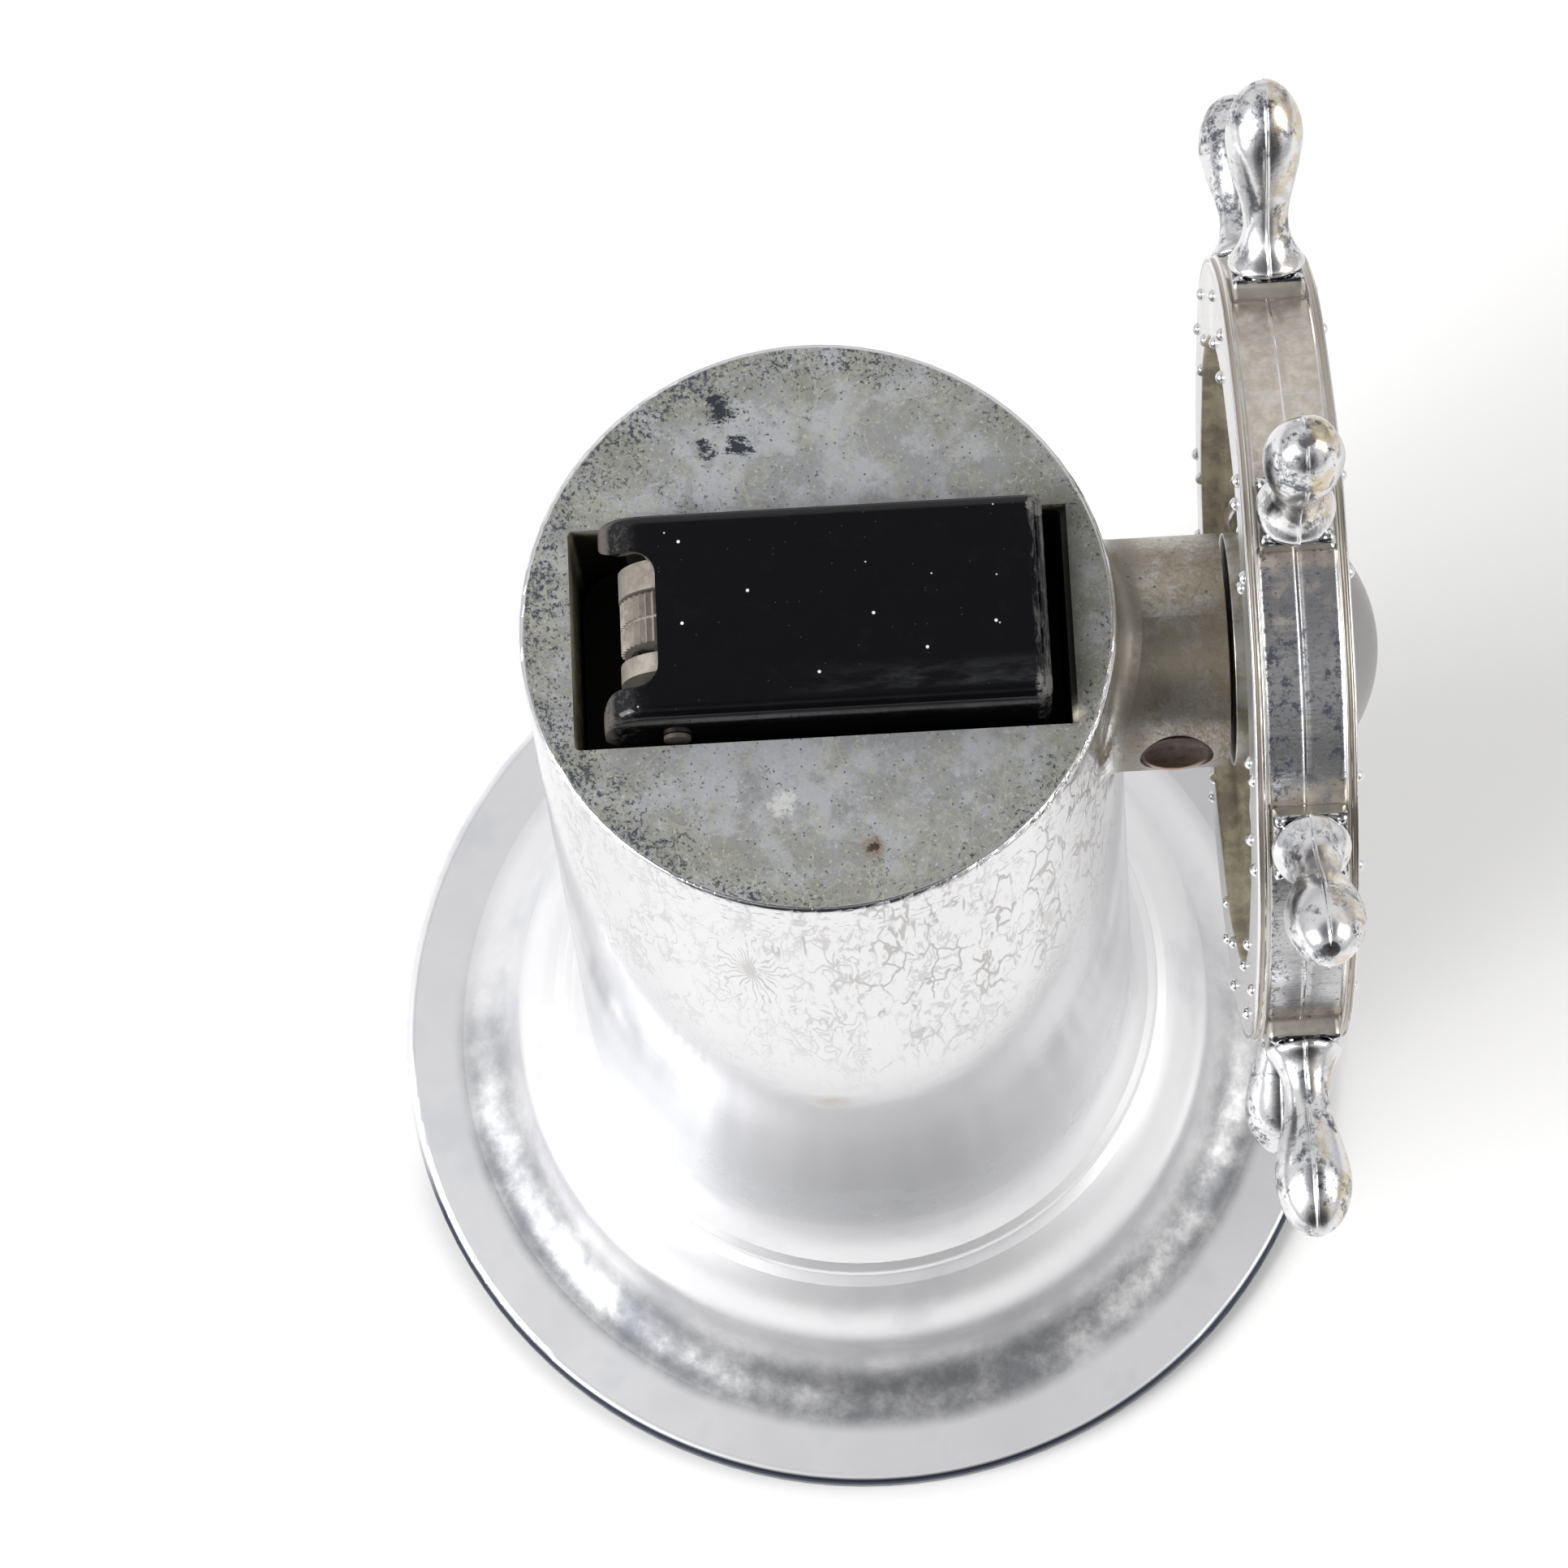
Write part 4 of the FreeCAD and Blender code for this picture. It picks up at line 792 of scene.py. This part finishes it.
def on_wheel(x, across, out, turn=0.0):
    """A point by its place along the axis, across a radius and out along it."""
    cosine, sine = math.cos(turn), math.sin(turn)
    return Vector((WHEEL_X + x, across * cosine + out * sine, WHEEL_Z + out * cosine - across * sine))


def band_radius(x):
    """Rim's outer surface: a cast seam with its two halves a little out of step, and two rolled edges."""
    seam = 0.13 * math.exp(-((x + 0.10) / 0.11) ** 2) + 0.08 * math.exp(-((x - 0.16) / 0.06) ** 2)
    ridge = 0.27 * math.exp(-((abs(x) - 2.74) / 0.15) ** 2)
    lip = 0.16 * math.exp(-((abs(x) - 3.32) / 0.09) ** 2)
    return RIM_BAND + seam + ridge + lip


def rim_outline():
    """Closed (x, radius) section of the rim."""
    xs = [RIM_HALF * 0.975 * math.sin(math.pi / 2 * k / 46) for k in range(-46, 47)]
    outer = [(x, band_radius(x)) for x in xs]
    shoulder = RIM_BAND - 0.22
    inside = [
        (RIM_HALF, shoulder),
        (RIM_HALF, RIM_INNER),
        (2.2, RIM_INNER),
        (1.9, RIM_INNER - 0.6),
        (-1.9, RIM_INNER - 0.6),
        (-2.2, RIM_INNER),
        (-RIM_HALF, RIM_INNER),
        (-RIM_HALF, shoulder),
    ]
    arcs = round_corners([Vector(point) for point in inside], 0.35, 3)
    return outer + [tuple(point) for point in arcs]


def circle(count):
    """Evenly spaced angles round a full turn."""
    return [2 * math.pi * k / count for k in range(count)]


def rim_skin():
    rings = []
    outline = rim_outline()
    for turn in circle(RIM_STEPS):
        uneven = 0.025 * math.sin(3 * turn + 1.0) + 0.018 * math.sin(11 * turn)
        rings.append([on_wheel(x + uneven, 0, r + 0.6 * uneven, turn) for x, r in outline])
    return skin(rings, loop=True)


def seam_angles():
    """Directions round a handle, closer together at the seam on each side."""
    near_seam = (-9, -6, -4, -2.6, -1.3, 0, 1.3, 2.6, 4, 6, 9)
    quarter = [math.radians(90 + a) for a in near_seam]
    open_side = [math.radians(99 + 162 * k / 18) for k in range(1, 18)]
    half = quarter + open_side
    return half + [a + math.pi for a in half]


def handle_skin(turn, chance):
    """A pear-shaped spoke end on its flared foot, cast in two halves that meet at a raised seam."""
    reach = HANDLE_TIP - FOOT_AT
    knots = [
        (2.2, -0.05), (2.3, 0.0), (2.55, 0.012), (2.68, 0.028), (2.58, 0.055), (2.12, 0.105),
        (1.72, 0.175), (1.56, 0.26), (1.70, 0.36), (2.20, 0.50), (2.60, 0.64), (2.66, 0.73),
        (2.42, 0.83), (1.85, 0.92), (1.15, 0.972), (0.55, 0.994),
    ]
    mismatch = chance.uniform(0.05, 0.10)
    shift = chance.uniform(-0.05, 0.05)
    rings = []
    for radius, along in smooth_curve(knots, 4):
        ring = []
        for angle in seam_angles():
            off_seam = math.degrees(math.asin(min(1.0, abs(math.cos(angle)))))
            ridge = 0.13 * math.exp(-(off_seam * radius / 4.6) ** 2)
            half = mismatch if math.cos(angle) > 0 else -mismatch
            blend = min(1.0, off_seam / 4)
            dented = 0.03 * math.sin(5 * angle + 9 * along + 20 * shift)
            r = radius + (ridge if radius > 1.0 else 0.5 * ridge) + dented * min(1.0, radius / 2)
            out = FOOT_AT + along * reach + 0.4 * half * blend * along
            ring.append(on_wheel(r * math.cos(angle), r * math.sin(angle) + half * blend, out, turn))
        rings.append(ring)
    return skin(rings)


def pad_skin(turn):
    """Square pad that a handle stands on, with its four corners drawn up into small ears."""
    half_x, half_y, corner = 2.5, 2.42, 0.15
    count = 12
    rings = []
    levels = (
        (-1.7, 0.0, 0.0, 0.05), (-1.2, 0.0, 0.0, 0.10), (-0.6, 0.0, 0.0, 0.12),
        (-0.25, 0.0, 0.15, 0.12), (-0.08, 0.05, 0.5, 0.08), (0.0, 0.2, 0.9, 0.0),
        (-0.04, 0.55, 0.55, 0.0), (-0.16, 1.0, 0.1, 0.0), (-0.2, 1.6, 0.0, 0.0),
    )
    for level, inset, ears, rib in levels:
        ring = []
        for side in range(4):
            for k in range(count):
                t = -1 + 2 * k / count
                u, v = ((t, -1), (1, t), (-t, 1), (-1, -t))[side]
                bulge = abs(t) ** 6
                lift = 0.42 * ears * bulge
                pull = corner * abs(t) ** 10 + inset - rib * bulge
                x = u * (half_x - pull * min(1, abs(u) + 0.2))
                y = v * (half_y - pull * min(1, abs(v) + 0.2))
                ring.append(on_wheel(x, y, FOOT_AT + level + lift, turn))
        rings.append(ring)
    return skin(rings)


def bead_skin(side, radius, turn):
    """Round imitation screw head on the face of the rim."""
    rings = []
    for k in range(6):
        slope = math.radians(100 - 19 * k)
        height = RIM_HALF - 0.05 + BEAD_R * math.cos(slope)
        reach = BEAD_R * math.sin(slope)
        spots = [(reach * math.cos(a), radius + reach * math.sin(a)) for a in circle(14)]
        rings.append([on_wheel(side * height, across, out, turn) for across, out in spots])
    return skin(rings)


def spoke_skin(turn):
    """Turned spoke with a swelling between two collars."""
    knots = [
        (2.0, 7.4), (2.0, 9.0), (1.75, 9.4), (1.3, 10.0), (1.9, 12.6), (1.8, 15.0),
        (1.4, 18.6), (1.33, 20.3), (1.5, 21.1), (1.85, 21.7), (1.9, RIM_INNER + 0.3),
    ]
    rings = []
    for r, out in smooth_curve(knots, 5):
        rings.append([on_wheel(r * math.cos(a), r * math.sin(a), out, turn) for a in circle(28)])
    return skin(rings)


def hub_skin():
    """Collared hub with its bore and the recess for the cap."""
    low, recess, high = (x - WHEEL_X for x in HUB_X)
    waist = HUB_R - 0.5
    corners = [
        (low, HUB_BORE),
        (low, HUB_R),
        (low + 1.6, HUB_R),
        (low + 1.9, waist),
        (high - 1.7, waist),
        (high - 1.4, HUB_R),
        (high, HUB_R),
        (high, HUB_RECESS_R),
        (recess, HUB_RECESS_R),
        (recess, HUB_BORE),
    ]
    outline = round_corners([Vector(point) for point in corners], 0.1, 3)
    return skin([[on_wheel(x, 0, r, turn) for x, r in outline] for turn in circle(96)], loop=True)


def build_wheel():
    mat = wheel_chrome()
    chance = random.Random(8)
    turns = circle(HANDLES)
    bead_turns = [turn + math.radians(a) for turn in turns for a in (-BEAD_ANGLE, BEAD_ANGLE)]
    beads = [bead_skin(side, r, turn) for side in (-1, 1) for r in BEAD_CIRCLES for turn in bead_turns]
    skins = {
        "wheel_rim": rim_skin(),
        "wheel_hub": hub_skin(),
        "wheel_spokes": joined([spoke_skin(turn) for turn in turns]),
        "wheel_handles": joined([handle_skin(turn, chance) for turn in turns]),
        "wheel_pads": joined([pad_skin(turn) for turn in turns]),
        "wheel_beads": joined(beads),
    }
    for name, (points, faces) in skins.items():
        add_piece(name, points, faces, mat, "wheel", "ships_wheel")


# ---------------------------------------------------------------- the insert's lid
LID_RISE = 4.2  # the lid's flat top above the column's


def build_lid():
    """Folded sheet lid: soft edges, a nose curled in two ears by the notch, a rolled lip at the far end."""
    low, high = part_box("lid")
    x0, x1 = low.x / MM, high.x / MM - 0.02
    y0, y1 = low.y / MM, high.y / MM
    top, skirt = TOP_Z + LID_RISE, low.z / MM
    edge, nose, sheet = 0.9, 3.5, 0.7
    notch_x, notch_y, notch_r, tip_r = -11.0, (-5.3, 4.6), 1.7, 1.5

    def drop(x):
        """How far the top has curled down at the nose."""
        t = max(0.0, x0 + nose - x)
        return nose * (1 - math.sqrt(max(0.0, 1 - (t / nose) ** 2.6)))

    def hem(x):
        """Lower edge of the side walls, which rises to the nose."""
        return skirt + 2.0 * max(0.0, 1 - (x - x0) / 2.0) ** 2

    def ear_edge(x):
        """How far the notch's side has drawn in from its straight line."""
        if x < x0 + tip_r:
            return -(tip_r - math.sqrt(max(0.0, tip_r ** 2 - (x0 + tip_r - x) ** 2)))
        t = min(notch_r, max(0.0, x - (notch_x - notch_r)))
        return notch_r - math.sqrt(notch_r ** 2 - t ** 2)

    curl = [x0 + nose * (1 - math.sin(math.pi / 2 * k / 14)) for k in range(14, 0, -1)]
    corner = [notch_x - notch_r * (1 - math.sin(math.pi / 2 * k / 10)) for k in range(11)]
    straight = [notch_x + (x1 - edge - notch_x) * k / 22 for k in range(1, 23)]
    ears = sorted(x for x in set(curl + corner) if x <= notch_x)
    body = [notch_x] + straight
    rolled = 26

    def side(step, end=0.0):
        """(out, down) over a rounded edge; end 1 adds the far end's groove and rolled lip."""
        a = math.pi / 2 * step / rolled
        out = edge * math.sin(a)
        groove = 0.13 * math.exp(-((out - 0.36) / 0.07) ** 2) - 0.05 * math.exp(-((out - 0.2) / 0.08) ** 2)
        return out, edge * (1 - math.cos(a)) + end * groove

    points, faces = [], []

    def patch(grid):
        start = len(points)
        width = len(grid[0])
        for row in grid:
            points.extend(row)
        for i in range(len(grid) - 1):
            for j in range(width - 1):
                k = start + i * width + j
                faces.append((k, k + 1, k + width + 1, k + width))

    def wall(x, y, z):
        """Points down a wall from below its rounded edge to the hem."""
        foot = hem(x)
        return [(x, y, z + (foot - z) * k / 5) for k in range(1, 6)]

    def spread(first, last, count):
        return [first + (last - first) * k / count for k in range(count + 1)]

    def flank(x, front):
        column = []
        y, sign = (y0 + edge, -1) if front else (y1 - edge, 1)
        for step in range(rolled + 1):
            out, down = side(step)
            column.append((x, y + sign * out, max(top - drop(x) - down, hem(x) + 0.02 * (rolled - step))))
        return column + wall(x, y + sign * edge, column[-1][2])

    stations = ears + body[1:]
    for front in (True, False):
        patch([flank(x, front) for x in stations])
    near, far = y0 + edge, y1 - edge
    inner = (notch_y[0] + notch_r, notch_y[1] - notch_r)
    lanes = 6
    for between in (lambda x: (near, notch_y[0] + ear_edge(x)), lambda x: (notch_y[1] - ear_edge(x), far)):
        patch([[(x, y, top - drop(x)) for y in spread(*between(x), lanes)] for x in stations])
    middle = 12
    patch([[(x, y, top) for y in spread(*inner, middle)] for x in body])

    end_x = x1 - edge
    across = spread(near, inner[0], lanes)[:-1] + spread(*inner, middle)[:-1] + spread(inner[1], far, lanes)
    patch([[(end_x + side(step, 1.0)[0], y, top - side(step, 1.0)[1]) for step in range(rolled + 1)]
           + wall(x1, y, top - edge) for y in across])
    turns = 10
    for y_corner, sign in ((near, -1), (far, 1)):
        fan = []
        for k in range(turns + 1):
            a = math.pi / 2 * k / turns
            share = math.sin(a) ** 2
            rim = [side(step, share) for step in range(rolled + 1)]
            ahead, aside = math.sin(a), sign * math.cos(a)
            row = [(end_x + out * ahead, y_corner + out * aside, top - down) for out, down in rim]
            row += wall(end_x + edge * ahead, y_corner + edge * aside, top - edge)
            fan.append(row)
        patch(fan)

    piece = add_piece("lid_shell", points, faces, lid_enamel(), "lid", "lid")
    thick = piece.modifiers.new("sheet", "SOLIDIFY")
    thick.thickness = sheet * MM
    thick.offset = -1
    thick.use_even_offset = True
    soft = piece.modifiers.new("soft_edges", "BEVEL")
    soft.width = 0.33 * MM
    soft.segments = 4
    soft.limit_method = "ANGLE"
    soft.angle_limit = math.radians(50)
    piece.modifiers.new("even_shading", "WEIGHTED_NORMAL")


# ---------------------------------------------------------------- finishes onto the CAD nodes
def paint(node, *mats, choose=None):
    """Gives a CAD node its materials; choose picks one from a face's centre and normal."""
    mesh = NODES[node].data
    mesh.materials.clear()
    for mat in mats:
        mesh.materials.append(mat)
    for face in mesh.polygons:
        face.material_index = choose(face.center / MM, face.normal) if choose else 0


SLOT_MIDDLE = (0.1, -0.3)
SLOT_HALF = (18.6, 8.3)  # just outside its walls and bevel
POCKET_DEPTH = 61  # past its floor
NEAR_TOP = 3
BARE_R = 20.4  # inside the top's plated edge


def column_region(centre, normal):
    """0 plate, 1 bare top face and bevel, 2 pocket."""
    if normal.z > 0.99 and centre.z > TOP_Z - 0.05:
        return 1
    in_slot = all(abs(centre[k] - SLOT_MIDDLE[k]) < SLOT_HALF[k] for k in (0, 1))
    depth = TOP_Z - centre.z
    if in_slot and math.hypot(centre.x, centre.y) < BARE_R and depth < POCKET_DEPTH:
        return 1 if normal.z > 0.2 and depth < NEAR_TOP else 2
    return 0


def dress_frame():
    """Finishes for the CAD nodes that show as they are."""
    steel = plain_steel("plain_steel", (0.5, 0.5, 0.5), (0.3, 0.29, 0.28), 0.28)
    tank_plate = plain_steel("tank_plate", (0.56, 0.55, 0.52), (0.44, 0.42, 0.38), 0.24, sooted=True)
    brass = ((0.60, 0.48, 0.28), (0.38, 0.30, 0.18), 0.32)
    sooty_brass = dirty_brass("brass_parts", *brass, sooted=True)
    striker = dirty_brass("striker_brass", (0.40, 0.37, 0.32), (0.24, 0.22, 0.19), 0.55)
    soot_black = dirty_brass("sooted_frame", (0.030, 0.027, 0.022), (0.010, 0.0095, 0.0085), 0.65)
    paint("column", pedestal_chrome(), zinc_face(), pocket_wall(), choose=column_region)
    finishes = {
        "hub_cap": cap_satin(),
        "axle_retaining_plug": plug_copper(),
        "felt_pad": soft_fibre("base_felt", (0.035, 0.09, 0.05), (0.02, 0.05, 0.03), 0.5, 0.15),
        "cotton_wadding wick": soft_fibre("cotton", (0.78, 0.76, 0.7), (0.6, 0.57, 0.5), 0.6, 0.2),
        "base_cover cover_screws wheel_axle": steel,
        "tank_shell tank_bottom": tank_plate,
        "filler_screw flint_tube flint_screw wick_tube snuffer_cap": sooty_brass,
        "thrust_washer axle_washer": dirty_brass("washer_brass", *brass),
        "wheel_bracket spark_wheel": striker,
        "pivot_pin": dirty_brass("pin_brass", (0.15, 0.135, 0.115), (0.07, 0.062, 0.05), 0.55),
        "burner_frame": soot_black,
        "drive_pawl": plain_steel("dark_steel", (0.10, 0.10, 0.105), (0.04, 0.04, 0.042), 0.4),
        "flint_spring lid_spring": plain_steel("spring_steel", (0.4, 0.4, 0.41), (0.2, 0.19, 0.18), 0.3),
        "filler_gasket": rubber(),
        "flint": flint_alloy(),
    }
    for nodes, mat in finishes.items():
        for node in nodes.split():
            paint(node, mat)


camera()
studio()
dress_frame()
build_wheel()
build_lid()
